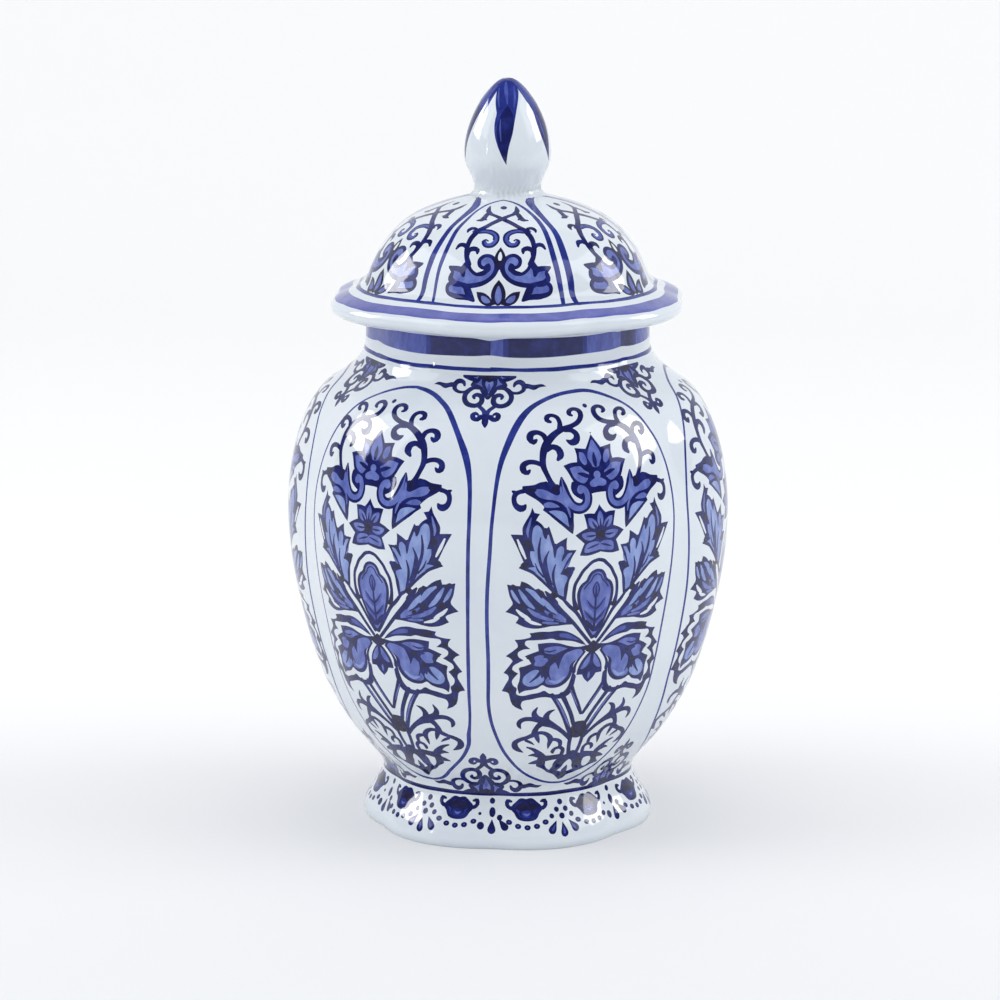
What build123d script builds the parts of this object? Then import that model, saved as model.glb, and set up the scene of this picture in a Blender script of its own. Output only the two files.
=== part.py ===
from build123d import *
import os
from math import cos, pi, radians, sin, sqrt

# Covered ginger jar, six-lobed porcelain. Millimetres, +Z up.
# The origin is the centre of the foot's resting face. A valley between two lobes faces -Y,
# the front, and the others follow every 60 degrees, so a lobe faces +X and another -X.

# ---- driving dimensions ----
LOBES = 6
FIRST_VALLEY = 30.0       # azimuth of a valley between two lobes of the jar, degrees from +X
LID_TURN = -26.0          # how far the lid is turned from the jar's lobes as it rests
VALLEY_SOFTNESS = 0.16    # rounding of each valley, as a share of half a lobe

FOOT_TOP = 21.5           # seam between foot ring and belly
NECK_BASE = 194.0         # seam between belly and neck
MOUTH = 211.0             # top of the neck, which the lid rests on
DOME_TOP = 258.4          # small flat on the dome that the finial stands on
OVERALL = 305.0           # height to the tip of the finial

MOUTH_R = 50.0            # round mouth
FOOT_BORE_R = 48.5        # foot ring's hollow at the resting face
FOOT_BORE_TOP_R = 43.0
FLOOR = 6.0               # thickness of the belly's floor
COLLAR_R = 47.2           # locating collar under the lid
COLLAR_WALL = 4.0
COLLAR_DROP = 11.5

# ---- outer shapes: (height, radius at the middle of a lobe, depth of the valleys) ----
FOOT_OUTER = [
    (0.0, 58.0, 0.050),
    (1.4, 59.2, 0.050),
    (4.0, 59.6, 0.050),
    (8.0, 58.3, 0.048),
    (12.0, 55.8, 0.044),
    (16.5, 53.2, 0.038),
    (20.0, 51.5, 0.032),
    (FOOT_TOP, 51.1, 0.030),
]
BELLY_OUTER = [
    (FOOT_TOP, 51.1, 0.030),
    (25.0, 52.2, 0.031),
    (31.0, 57.0, 0.033),
    (38.5, 63.4, 0.036),
    (48.0, 69.7, 0.039),
    (60.0, 75.8, 0.041),
    (75.0, 81.1, 0.042),
    (92.0, 85.4, 0.043),
    (110.0, 88.7, 0.043),
    (130.0, 90.0, 0.043),
    (147.0, 88.6, 0.042),
    (161.0, 85.3, 0.040),
    (172.0, 80.7, 0.037),
    (180.0, 74.9, 0.034),
    (186.0, 66.6, 0.030),
    (190.5, 61.4, 0.026),
    (NECK_BASE, 58.9, 0.024),
]
NECK_OUTER = [
    (NECK_BASE, 58.9, 0.024),
    (197.0, 58.0, 0.024),
    (202.0, 57.6, 0.024),
    (207.0, 57.6, 0.024),
    (210.0, 57.3, 0.024),
    (MOUTH, 56.4, 0.024),
]
LID_OUTER = [
    (MOUTH, 70.2, 0.045),
    (212.0, 72.4, 0.045),
    (213.8, 73.6, 0.045),
    (215.8, 73.4, 0.045),
    (217.4, 72.0, 0.045),
    (218.9, 68.8, 0.043),
    (220.4, 65.0, 0.040),
    (222.0, 61.7, 0.037),
    (223.8, 59.5, 0.036),
    (226.0, 58.1, 0.036),
    (230.0, 56.5, 0.036),
    (235.0, 53.9, 0.035),
    (240.0, 50.3, 0.034),
    (245.0, 45.4, 0.032),
    (249.3, 39.4, 0.030),
    (253.1, 31.0, 0.026),
    (256.0, 22.2, 0.020),
    (DOME_TOP, 13.8, 0.010),
]

# ---- hollow shapes, following the outside ----
BELLY_INNER = [
    (FOOT_TOP + FLOOR, 43.0, 0.010),
    (33.0, 51.5, 0.018),
    (40.0, 57.6, 0.026),
    (50.0, 64.4, 0.034),
    (62.0, 70.2, 0.037),
    (77.0, 75.6, 0.039),
    (94.0, 79.8, 0.040),
    (112.0, 83.0, 0.040),
    (130.0, 84.2, 0.040),
    (147.0, 82.9, 0.038),
    (160.0, 79.8, 0.036),
    (170.0, 75.4, 0.032),
    (178.0, 69.2, 0.025),
    (184.0, 60.8, 0.014),
    (189.0, 53.6, 0.004),
    (NECK_BASE, MOUTH_R, 0.0),
]


def soft_lobe(angle):
    """0 in the middle of a lobe, 1 at the bottom of a softened valley."""
    half = pi / LOBES
    share = abs((angle + half) % (2 * half) - half) / half
    eased = sqrt(share**2 + VALLEY_SOFTNESS**2) - VALLEY_SOFTNESS
    eased = eased / (sqrt(1 + VALLEY_SOFTNESS**2) - VALLEY_SOFTNESS)
    return (1 - eased) ** 2


def lobed_outline(radius, depth, turn):
    """Points of one horizontal section, ten to a lobe and closer together in the valleys."""
    shares = [0.0, 0.1, 0.22, 0.42, 0.7, 1.0, 1.3, 1.58, 1.78, 1.9]
    points = []
    for lobe in range(LOBES):
        for share in shares:
            local = (lobe + share / 2) * 2 * pi / LOBES
            r = radius * (1 - depth * soft_lobe(local))
            a = local + radians(FIRST_VALLEY + turn)
            points.append((r * cos(a), r * sin(a)))
    return points


def lobed_loft(stations, turn=0.0, mode=Mode.ADD):
    """Smooth lobed solid through the stations, for use inside a BuildPart."""
    sections = []
    for height, radius, depth in stations:
        with BuildSketch(Plane.XY.offset(height)) as section:
            with BuildLine():
                Spline(*lobed_outline(radius, depth, turn), periodic=True)
            make_face()
        sections.append(section.sketch.face())
    loft(sections=sections, mode=mode)


os.makedirs("parts", exist_ok=True)

# ---- foot ring ----
with BuildPart() as foot_ring:
    lobed_loft(FOOT_OUTER)
    with BuildSketch(Plane.XZ) as foot_hollow:
        with BuildLine():
            Polyline(
                (0, 0),
                (FOOT_BORE_R + 1.2, 0),
                (FOOT_BORE_R, 1.6),
                (FOOT_BORE_TOP_R, FOOT_TOP),
                (0, FOOT_TOP),
                close=True,
            )
        make_face()
    revolve(axis=Axis.Z, mode=Mode.SUBTRACT)
foot_ring.part.label = "foot_ring"
export_step(foot_ring.part, "parts/foot_ring.step")

# ---- belly ----
with BuildPart() as belly:
    lobed_loft(BELLY_OUTER)
    lobed_loft(BELLY_INNER, mode=Mode.SUBTRACT)
belly.part.label = "belly"
export_step(belly.part, "parts/belly.step")

# ---- neck ----
with BuildPart() as neck:
    lobed_loft(NECK_OUTER)
    with BuildSketch(Plane.XZ) as neck_bore:
        with BuildLine():
            Polyline(
                (0, NECK_BASE),
                (MOUTH_R, NECK_BASE),
                (MOUTH_R, MOUTH - 1.2),
                (MOUTH_R + 1.2, MOUTH),
                (0, MOUTH),
                close=True,
            )
        make_face()
    revolve(axis=Axis.Z, mode=Mode.SUBTRACT)
neck.part.label = "neck"
export_step(neck.part, "parts/neck.step")

# ---- lid: brim and dome, hollow underneath ----
LID_BORE_R = COLLAR_R - COLLAR_WALL
with BuildPart() as lid_dome:
    lobed_loft(LID_OUTER, turn=LID_TURN)
    with BuildSketch(Plane.XZ) as lid_hollow:
        with BuildLine():
            Line((0, MOUTH), (LID_BORE_R, MOUTH))
            Line((LID_BORE_R, MOUTH), (LID_BORE_R, MOUTH + 4))
            Spline(
                (LID_BORE_R, MOUTH + 4),
                (48.2, 217.4),
                (50.8, 222.0),
                (51.0, 227.0),
                (49.0, 234.0),
                (44.6, 240.8),
                (36.4, 247.3),
                (24.6, 250.9),
                (12.4, 253.5),
                (0, 254.0),
            )
            Line((0, 254.0), (0, MOUTH))
        make_face()
    revolve(axis=Axis.Z, mode=Mode.SUBTRACT)
lid_dome.part.label = "lid_dome"
export_step(lid_dome.part, "parts/lid_dome.step")

# ---- locating collar under the lid ----
with BuildPart() as lid_collar:
    with BuildSketch(Plane.XZ) as collar_section:
        with BuildLine():
            Polyline(
                (LID_BORE_R, MOUTH),
                (COLLAR_R, MOUTH),
                (COLLAR_R - 0.5, MOUTH - COLLAR_DROP + 1.4),
                (COLLAR_R - 1.9, MOUTH - COLLAR_DROP),
                (LID_BORE_R + 0.9, MOUTH - COLLAR_DROP),
                (LID_BORE_R, MOUTH - COLLAR_DROP + 0.9),
                close=True,
            )
        make_face()
    revolve(axis=Axis.Z)
lid_collar.part.label = "lid_collar"
export_step(lid_collar.part, "parts/lid_collar.step")

# ---- finial: a closed bud ----
with BuildPart() as finial:
    with BuildSketch(Plane.XZ) as bud_section:
        with BuildLine():
            Line((0, DOME_TOP), (13.2, DOME_TOP))
            Spline(
                (13.2, DOME_TOP),
                (12.8, 260.8),
                (14.7, 265.6),
                (17.3, 272.0),
                (17.2, 279.0),
                (15.2, 287.0),
                (10.8, 296.0),
                (5.2, 302.8),
                (2.6, 304.5),
                (0, OVERALL),
            )
            Line((0, OVERALL), (0, DOME_TOP))
        make_face()
    revolve(axis=Axis.Z)
finial.part.label = "finial"
export_step(finial.part, "parts/finial.step")
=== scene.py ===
import math
import bpy
import numpy as np
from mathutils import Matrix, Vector
from mathutils.geometry import delaunay_2d_cdt


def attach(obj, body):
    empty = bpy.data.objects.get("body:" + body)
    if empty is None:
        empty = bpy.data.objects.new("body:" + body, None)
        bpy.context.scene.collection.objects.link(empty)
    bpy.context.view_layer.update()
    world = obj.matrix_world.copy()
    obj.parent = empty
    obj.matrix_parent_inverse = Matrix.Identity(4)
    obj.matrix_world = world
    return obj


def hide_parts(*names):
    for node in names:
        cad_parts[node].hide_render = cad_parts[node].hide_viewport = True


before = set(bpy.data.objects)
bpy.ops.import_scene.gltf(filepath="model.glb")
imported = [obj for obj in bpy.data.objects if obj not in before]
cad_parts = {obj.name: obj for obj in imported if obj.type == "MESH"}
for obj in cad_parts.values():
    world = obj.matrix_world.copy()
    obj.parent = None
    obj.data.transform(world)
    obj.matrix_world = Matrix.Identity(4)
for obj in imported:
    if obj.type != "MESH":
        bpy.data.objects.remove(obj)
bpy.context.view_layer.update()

# ---------------------------------------------------------------------------
# Porcelain shapes. Millimetres until the meshes are made. Angles are measured
# from the front (-Y), growing towards +X. Each station is height, radius in
# the middle of a lobe, depth of the valleys as a share of that radius.
# ---------------------------------------------------------------------------
FOOT = [(0, 58.0, .050), (1.4, 59.2, .050), (4, 59.6, .050), (8, 58.3, .048), (12, 55.8, .044),
        (16.5, 53.2, .038), (20, 51.5, .032), (21.5, 51.1, .030)]
BELLY = [(21.5, 51.1, .030), (25, 52.2, .031), (31, 57.0, .033), (38.5, 63.4, .036), (48, 69.7, .039),
         (60, 75.8, .041), (75, 81.1, .042), (92, 85.4, .043), (110, 88.7, .043), (130, 90.0, .043),
         (147, 88.6, .042), (161, 85.3, .040), (172, 80.7, .037), (180, 74.9, .034), (186, 66.6, .030),
         (190.5, 61.4, .026), (194, 58.9, .024)]
NECK = [(194, 58.9, .024), (197, 58.0, .024), (202, 57.6, .024), (207, 57.6, .024), (210, 57.3, .024),
        (211, 56.4, .024)]
LID = [(211, 70.2, .045), (212, 72.4, .045), (213.8, 73.6, .045), (215.8, 73.4, .045), (217.4, 72.0, .045),
       (218.9, 68.8, .043), (220.4, 65.0, .040), (222, 61.7, .037), (223.8, 59.5, .036), (226, 58.1, .036),
       (230, 56.5, .036), (235, 53.9, .035), (240, 50.3, .034), (245, 45.4, .032), (249.3, 39.4, .030),
       (253.1, 31.0, .026), (256, 22.2, .020), (258.4, 13.8, .010)]
BUD = [(258.4, 13.2, 0), (260.8, 12.8, 0), (265.6, 14.7, 0), (272, 17.3, 0), (279, 17.2, 0), (287, 15.2, 0),
       (296, 10.8, 0), (302.8, 5.2, 0), (304.5, 2.6, 0), (304.98, 0.15, 0)]
BELLY_INSIDE = [(194, 50.0, 0), (189, 53.6, .004), (184, 60.8, .014), (178, 69.2, .025), (170, 75.4, .032),
                (160, 79.8, .036), (147, 82.9, .038), (130, 84.2, .040), (112, 83.0, .040), (94, 79.8, .040),
                (77, 75.6, .039), (62, 70.2, .037), (50, 64.4, .034), (40, 57.6, .026), (33, 51.5, .018),
                (27.5, 43.0, .010)]
LID_INSIDE = [(215, 43.2, 0), (217.4, 48.2, 0), (222, 50.8, 0), (227, 51.0, 0), (234, 49.0, 0),
              (240.8, 44.6, 0), (247.3, 36.4, 0), (250.9, 24.6, 0), (253.5, 12.4, 0), (254, 0.1, 0)]
LID_TURN = math.radians(-26)
LOBES = 6
SECTOR = 2 * math.pi / LOBES     # one lobe, from valley to valley
SOFT = 0.16                      # how soft the valleys are
SPREAD = 60.0                    # flat width given to one radian while a pattern is cut


def catmull(points, step, closed=False):
    """A smooth curve through points (rows of 2 or 3 numbers), sampled about every step."""
    p = np.asarray(points, float)
    n = len(p)
    if n < 3 and not closed:
        k = max(2, int(np.ceil(np.linalg.norm(p[-1, :2] - p[0, :2]) / step)) + 1)
        return np.linspace(p[0], p[-1], k)
    if closed:
        ext = np.vstack([p[-1], p, p[0], p[1]])
    else:
        ext = np.vstack([2 * p[0] - p[1], p, 2 * p[-1] - p[-2]])
    out = []
    for i in range(1, len(ext) - 2):
        a, b, c, d = ext[i - 1:i + 3]
        t0 = 0.0
        t1 = max(np.linalg.norm(b[:2] - a[:2]), 1e-6) ** .5
        t2 = t1 + max(np.linalg.norm(c[:2] - b[:2]), 1e-6) ** .5
        t3 = t2 + max(np.linalg.norm(d[:2] - c[:2]), 1e-6) ** .5
        k = max(1, int(np.ceil(np.linalg.norm(c[:2] - b[:2]) / step)))
        for t in np.linspace(t1, t2, k, endpoint=False):
            a1 = (t1 - t) / (t1 - t0) * a + (t - t0) / (t1 - t0) * b
            a2 = (t2 - t) / (t2 - t1) * b + (t - t1) / (t2 - t1) * c
            a3 = (t3 - t) / (t3 - t2) * c + (t - t2) / (t3 - t2) * d
            b1 = (t2 - t) / (t2 - t0) * a1 + (t - t0) / (t2 - t0) * a2
            b2 = (t3 - t) / (t3 - t1) * a2 + (t - t1) / (t3 - t1) * a3
            out.append((t2 - t) / (t2 - t1) * b1 + (t - t1) / (t2 - t1) * b2)
    if not closed:
        out.append(ext[-2])
    return np.array(out)


def lobed(r, depth, angle, turn):
    """Radius at that angle: r at the lobes, less at the valleys. One valley is at turn."""
    share = np.abs((angle - turn + SECTOR / 2) % SECTOR - SECTOR / 2) / (SECTOR / 2)
    eased = (np.sqrt(share ** 2 + SOFT ** 2) - SOFT) / (math.sqrt(1 + SOFT ** 2) - SOFT)
    return r * (1 - depth * (1 - eased) ** 2)


class Wall:
    """A lobed surface: angle and length along the meridian give a point."""

    def __init__(self, stations, turn=0.0):
        fine = catmull([(r, z, d) for z, r, d in stations], .1)
        self.r, self.z, self.d = fine.T
        self.length = np.concatenate([[0], np.cumsum(np.hypot(np.diff(self.r), np.diff(self.z)))])
        self.turn = turn

    def radius(self, v):
        return np.interp(v, self.length, self.r)

    def point(self, angle, v):
        r, z, d = (np.interp(v, self.length, q) for q in (self.r, self.z, self.d))
        r = lobed(r, d, angle, self.turn)
        return np.stack([r * np.sin(angle), -r * np.cos(angle), z], -1)

    def normal(self, angle, v):
        lo, hi = np.maximum(v - .25, 0), np.minimum(v + .25, self.length[-1])
        across = self.point(angle + .004, v) - self.point(angle - .004, v)
        n = np.cross(across, self.point(angle, hi) - self.point(angle, lo))
        return n / np.maximum(np.linalg.norm(n, axis=-1, keepdims=True), 1e-9)


# ---------------------------------------------------------------------------
# Brush marks. x runs round the wall in mm from the middle of the motif, y up
# the meridian in mm. A kind with a higher order is painted over the others.
# ---------------------------------------------------------------------------
ORDER = {"base": .5, "band": 1, "wash": 1, "pale": 1.5, "white": 2, "mid": 3, "frame": 3.5, "line": 4,
         "dark": 5, "cut": 6, "wash2": 6, "line2": 7, "mid2": 8}


class Motif:
    """A list of brush marks: kind and closed outline."""

    def __init__(self, fat=1.0):
        self.marks = []
        self.fat = fat           # how much fuller the brush is than the widths say

    def stroke(self, pts, kind="line", step=.9):
        """A brush stroke through (x, y, width)."""
        q = catmull(pts, step)
        t = np.gradient(q[:, :2], axis=0)
        t /= np.maximum(np.linalg.norm(t, axis=1, keepdims=True), 1e-9)
        side = np.stack([-t[:, 1], t[:, 0]], 1) * np.maximum(q[:, 2:3] * self.fat, .12) / 2
        left, right = q[:, :2] + side, q[:, :2] - side
        for i in range(len(q) - 1):
            self.marks.append((kind, np.array([left[i], right[i], right[i + 1], left[i + 1]])))
        for x, y, width in (q[0], q[-1]):
            if width > .7:
                self.oval(kind, x, y, width * self.fat / 2, width * self.fat / 2, 0, 8)

    def strokes(self, *runs, kind="line", step=.9):
        for pts in runs:
            self.stroke(pts, kind, step)

    def oval(self, kind, x, y, rx, ry, lean, n):
        a = np.arange(n) * 2 * math.pi / n
        p = np.stack([rx * np.cos(a), ry * np.sin(a)], 1)
        c, s = math.cos(lean), math.sin(lean)
        self.marks.append((kind, p @ np.array([[c, s], [-s, c]]) + (x, y)))

    def dot(self, x, y, rx, ry=None, lean=0, kind="line"):
        self.oval(kind, x, y, rx, ry or rx, math.radians(lean), 14)

    def drop(self, x, y, length, width, lean=0, kind="line"):
        """A drop that is pointed at its top."""
        a = math.radians(lean)
        up = np.array([-math.sin(a), math.cos(a)])
        rows = [(.5, .05), (.2, .5), (-.1, .95), (-.3, 1), (-.45, .6), (-.5, .1)]
        self.stroke([(x + up[0] * s * length, y + up[1] * s * length, w * width) for s, w in rows], kind)

    def shape(self, pts, kind="wash", edge=0, step=.9):
        """A filled outline, with a brushed edge that wide. A point with a third number is a corner."""
        corners = [i for i, p in enumerate(pts) if len(p) > 2]
        flat = [p[:2] for p in pts]
        if corners:
            flat = flat[corners[0]:] + flat[:corners[0]] + [flat[corners[0]]]
            ends = [c - corners[0] for c in corners] + [len(pts)]
            runs = [catmull(flat[a:b + 1], step) for a, b in zip(ends, ends[1:])]
        else:
            runs = [catmull(flat, step, closed=True)]
        self.marks.append((kind, np.vstack([r[:-1] if len(runs) > 1 else r for r in runs])))
        for r in runs if edge else []:
            r = r if corners else np.vstack([r, r[:1]])
            swell = edge * (1 + .16 * np.sin(np.linspace(0, 3.1, len(r))))
            self.stroke(np.column_stack([r, swell]), step=step * 1.2)

    def add(self, other, place):
        """Takes in another motif's marks, each point put through place."""
        self.marks += [(kind, place(poly)) for kind, poly in other.marks]
        return self


def both(half, axis):
    """The whole of a shape that is drawn as its left half, from its top to its bottom."""
    other = [(2 * axis - p[0],) + tuple(p[1:]) for p in reversed(half)]
    first = 1 if abs(half[-1][0] - axis) < .05 else 0
    last = -1 if abs(half[0][0] - axis) < .05 else None
    return list(half) + other[first:last]


def mirror(axis):
    """Turns a motif over, left to right. The axis is one x, or a function of y."""
    def place(p):
        q = p.copy()
        q[:, 0] = 2 * (axis(p[:, 1]) if callable(axis) else axis) - p[:, 0]
        return q
    return place


def same(p):
    return p


# ---- main panel: everything inside one arched frame ----
def panel_axis(y):
    """The middle line of the flowers, which leans a little."""
    return np.interp(y, [0, 40, 76, 112, 125, 150, 176], [-.4, -.2, .3, 0, .9, 1.6, 2.4])


def main_panel():
    m = Motif()
    half = Motif()

    # palmette flower: dark silhouette, then the petals
    m.shape(both([(2, 164, 1), (.4, 161), (-1.6, 157.6, 1), (-6.2, 158.4, 1), (-5.8, 155.4), (-6.1, 152.7, 1),
        (-8.8, 152.6), (-12, 151.6, 1), (-10.6, 149), (-9.6, 146.6), (-8.9, 144.8), (-9.8, 142.6),
        (-9.2, 140.2), (-7.4, 138.8), (-5, 137.6, 1), (-3, 139), (-1.6, 139.6),
        (1.6, 139.8)], 1.6), kind="base")
    m.shape(both([(1.6, 161), (.2, 158.6), (-1, 155.8), (-1.3, 153), (-.2, 150.6), (1.6, 149.8)], 1.6))
    half.shape([(-4.6, 156.6, 1), (-3, 156.2), (-2, 154), (-2, 151.8), (-3, 151.2), (-4.2, 152.4),
        (-4.8, 154.4)])
    half.shape([(-9.6, 150.4, 1), (-7.4, 151), (-5, 150.8), (-3, 149.4), (-1.8, 147.8), (-2.6, 145.6),
        (-4.4, 144), (-6.6, 144.8), (-8.2, 146.4), (-9, 148.4)])
    half.strokes(
        [(-6.6, 148.2, .5), (-4.6, 147.6, 1.6), (-2.4, 146.6, 1.7)],
        [(-5, 151.4, .4), (-3.4, 150, 1.4), (-1.6, 148.8, 1.5)],
        [(-1.7, 154.4, .3), (-1.2, 152.4, 1), (-.4, 150.6, 1)])
    m.stroke([(1.5, 156, .4), (1.4, 154, 1.5), (1.5, 152.2, 1.8), (1.6, 150.4, 1)])
    m.shape(both([(1.6, 149.4), (-.6, 148.6), (-1.2, 146.4), (-3, 145), (-3.4, 142.8), (-2, 141.1),
        (0, 140.8), (1.6, 141)], 1.6), kind="line")
    m.dot(1.6, 146.8, 1.5, 1.6, kind="wash2")
    m.shape([(.6, 145.6), (-.6, 145), (-2, 144), (-1.8, 142.6), (-.2, 142.1), (1.6, 142.4), (3.4, 142.1),
        (5, 142.6), (5.2, 144), (3.8, 145), (2.6, 145.6)], kind="wash2")

    # scroll from the flower into the side leaf
    sweep_line = [(-13.5, 147.2), (-13.4, 144), (-13, 141), (-12.2, 138.2), (-10.8, 135.8), (-8.8, 134.5),
                  (-6.6, 134.4), (-4.7, 135.6), (-3.9, 137.6), (-3.9, 139.8), (-4.8, 141.6), (-6.3, 142.3)]
    dark_w = [.6, 3, 3.8, 4.2, 4.4, 4.4, 4.3, 4.2, 4.2, 4, 3.8, 3.8]
    pale_w = [.1, .5, 1.4, 2.2, 2.4, 2.2, 2, 2, 2.1, 2.2, 2.4, 2.4]
    half.stroke([(x, y, w) for (x, y), w in zip(sweep_line, dark_w)], kind="base")
    half.stroke([(x, y, w) for (x, y), w in zip(sweep_line, pale_w)], kind="wash")
    half.stroke([(-9.2, 144.4, 1.3), (-9.6, 142.4, 1.4), (-9, 140.4, 1.3), (-7.4, 139, 1.3), (-6, 138, 1)])
    half.dot(-6.5, 141.4, 1.4, 1.5, kind="wash2")
    # side leaf in two parts
    half.shape([(-19.4, 145.5, 1), (-22, 145), (-24.2, 144), (-28.9, 143.2, 1), (-29.2, 141.6),
        (-28.4, 140.6), (-26, 139.1), (-24, 137.9), (-22.5, 136.6), (-21.3, 135.3, 1), (-22, 134, 1),
        (-20, 132.5), (-18, 130.7), (-16, 129), (-14, 127.3), (-12, 125.5), (-10.7, 124.6, 1), (-10.3, 127),
        (-10.3, 130), (-10.2, 133), (-11, 136.5), (-12.8, 141), (-15.6, 144.4), (-17.4, 143.6)], kind="base")
    half.shape([(-24.4, 141.8), (-22.4, 142.3), (-20, 141.8), (-17.8, 140.5), (-16, 139.8), (-14.9, 140.4),
        (-14.7, 142.6), (-14.1, 143.6), (-13.8, 141), (-13, 138), (-11.8, 135.6), (-13, 135), (-14.8, 136.8),
        (-17.2, 137.9), (-20, 138.2), (-22.4, 138.8), (-24, 140)])
    half.shape([(-21.6, 136.4, 1), (-19.8, 137.2), (-17.4, 136.7), (-15.4, 135.3, 1), (-17.6, 135),
        (-19.4, 135), (-21, 135.2)])
    half.shape([(-19.8, 133.6, 1), (-17.4, 134), (-15.4, 133.7), (-13.8, 133), (-12.8, 131.4), (-12.5, 129.4),
        (-12.1, 127.4, 1), (-13.4, 128.4), (-15.2, 129.9), (-17.2, 131.6)], kind="pale")
    half.stroke([(-14.2, 135.8, .8), (-12.8, 133.2, 1.2), (-11.4, 130.4, 1)])
    half.stroke([(-13, 136, .3), (-12, 133.6, 1), (-11.5, 131, .3)], kind="wash2")
    half.strokes(
        [(-28.8, 141.2, 1.8), (-30.8, 140.6, 1.7), (-32.4, 139.4, 2), (-33, 137.4, 2.1), (-32.5, 135.4, 2.5),
         (-30.9, 134.3, 2.8), (-29.2, 134.8, 2.2), (-28.3, 136.1, .5)],
        [(-31.6, 140.2, 1.8), (-32.6, 140.6, 1.6), (-33.5, 141, .5)])
    half.dot(-16.4, 142.4, 1.3, 1.6, kind="dark")
    half.dot(-25.6, 141.6, 2, .9, 12, kind="dark")
    # vine with its curls
    half.strokes(
        [(-16.6, 142.6, 3), (-17.8, 145, 2.2), (-18.9, 148, 2), (-19.9, 151.6, 2.4), (-19.5, 155.6, 2.6),
         (-18.2, 159, 3), (-15.8, 162.2, 2.9), (-12.6, 164.8, 2.5), (-9, 166.5, 2.2), (-5.4, 167.4, 2),
         (-2.4, 168.9, 2.1), (-.7, 171.4, 2.2), (-.8, 174, 2.2), (-2.6, 175.2, 2), (-4.7, 174.3, 1.9),
         (-5.1, 172.7, 2), (-4.3, 172, 1.2)],
        [(-10.6, 166.4, 2.4), (-10, 169.2, 2), (-10.6, 171.7, 2), (-12.6, 172.7, 1.8), (-14.5, 171.9, 2),
         (-14.9, 170.3, 2.3), (-13.8, 169.7, 1.5)],
        [(-16.8, 161.4, 2.6), (-18, 164.2, 2.2), (-20.3, 165.2, 2), (-22.6, 164.4, 2.4), (-23.4, 162.4, 2.8),
         (-22.2, 161.2, 2.4), (-20.9, 162.1, 1)],
        [(-8.8, 166, 2), (-5.8, 165.5, 2.1), (-4.2, 163.5, 2.5), (-5, 161.2, 3), (-7.2, 160.7, 2.4),
         (-8.6, 161.6, 1)],
        [(-17.8, 158, 2), (-15.2, 159.3, 2.2), (-12.9, 158.3, 2.8), (-12.4, 155.9, 2.9), (-13.8, 154.1, 1.3)],
        [(-19.8, 151.8, 2), (-22.8, 153, 2), (-25.6, 152.9, 2), (-27.6, 151.4, 2.4), (-27.6, 149.3, 2.8),
         (-26.2, 148.8, 2), (-25.2, 149.8, .8)])

    m.dot(2.5, 176.3, .95, 1.2)

    # small star flower
    m.shape(both([(1, 135.2, 1), (-.3, 133.2), (-1.6, 131.7, 1), (-3.8, 132), (-6.1, 131.9, 1), (-5.4, 129),
        (-4.9, 126.4, 1), (-7.2, 125.5), (-9.8, 124, 1), (-7.6, 122), (-6.1, 120.6, 1), (-7, 118.4),
        (-7.7, 116, 1), (-4, 115.7), (1, 116.8)], .9), kind="base")
    m.shape(both([(.9, 132.6), (-.3, 130.6), (-.2, 128), (.9, 126)], .9))
    half.shape([(-4.3, 130.2), (-2.6, 129.9), (-1, 128.6), (-.4, 126.4), (-2.2, 126), (-3.8, 127.2)])
    half.shape([(-7.2, 124.1), (-5, 124.8), (-1.6, 124.4), (-1.4, 122.6), (-3.4, 121.6), (-5.6, 122)])
    half.shape([(-5.3, 120), (-3, 120.9), (-.6, 120.9), (.7, 120), (.7, 118), (-2.4, 117.2), (-5.9, 117.1)])
    half.strokes(
        [(.2, 119.9, .4), (-2.2, 119.2, .8), (-4.8, 118.4, .3)],
        [(-1.2, 123.4, .4), (-3.2, 123.2, .9), (-5.2, 123.4, .3)],
        [(-.2, 125, 1.2), (-1.8, 127.4, .9), (-2.8, 128.8, .3)])
    m.stroke([(.9, 124, 2), (.9, 127, 1), (.9, 129.6, .3)])
    m.dot(.9, 123.4, 1.9, 1.7, kind="dark")

    # tall serrated leaf: outer strands, then the body
    half.shape([(-26, 134.9, 1), (-25.2, 132.9, 1), (-23.1, 132.5, 1), (-24.2, 131), (-25, 129.6),
        (-26.6, 127), (-27.4, 124), (-27.6, 120.4), (-28, 117), (-28.9, 114), (-31.9, 111, 1),
        (-29.8, 113.2, 1), (-31.4, 116.6), (-33.3, 120.4), (-35.4, 124.1, 1), (-33.4, 124.2),
        (-30.4, 124.2, 1), (-30.4, 126.8), (-28.7, 129.8), (-27, 132.4)], kind="base")
    half.shape([(-24.6, 130, 1), (-22.8, 128.7), (-21.2, 126.6, 1), (-19.9, 127.9, 1), (-18.8, 124.6),
        (-17.5, 120.7, 1), (-15.6, 122), (-12.9, 123.5, 1), (-13.1, 121), (-12.9, 118.5, 1), (-9.1, 118.4, 1),
        (-10.6, 115.8), (-12.2, 111.8, 1), (-9.3, 111.5, 1), (-10, 108.8), (-11.1, 106), (-11.5, 102),
        (-12, 97, 1), (-14.6, 98.6), (-17.4, 101), (-20.2, 103.7), (-23.2, 106.4), (-26.2, 108.8),
        (-31.9, 111, 1), (-29.4, 113.6), (-28.8, 118), (-29, 123), (-27.4, 127.8)], kind="base")
    half.stroke([(-32.6, 122.4, .7), (-30.9, 118.6, 1.4), (-29, 114.8, .7)], kind="white")
    half.stroke([(-26.6, 131, .3), (-27.6, 128.2, 1), (-28.4, 125.4, 1), (-28.2, 123.4, .4)], kind="wash")
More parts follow.
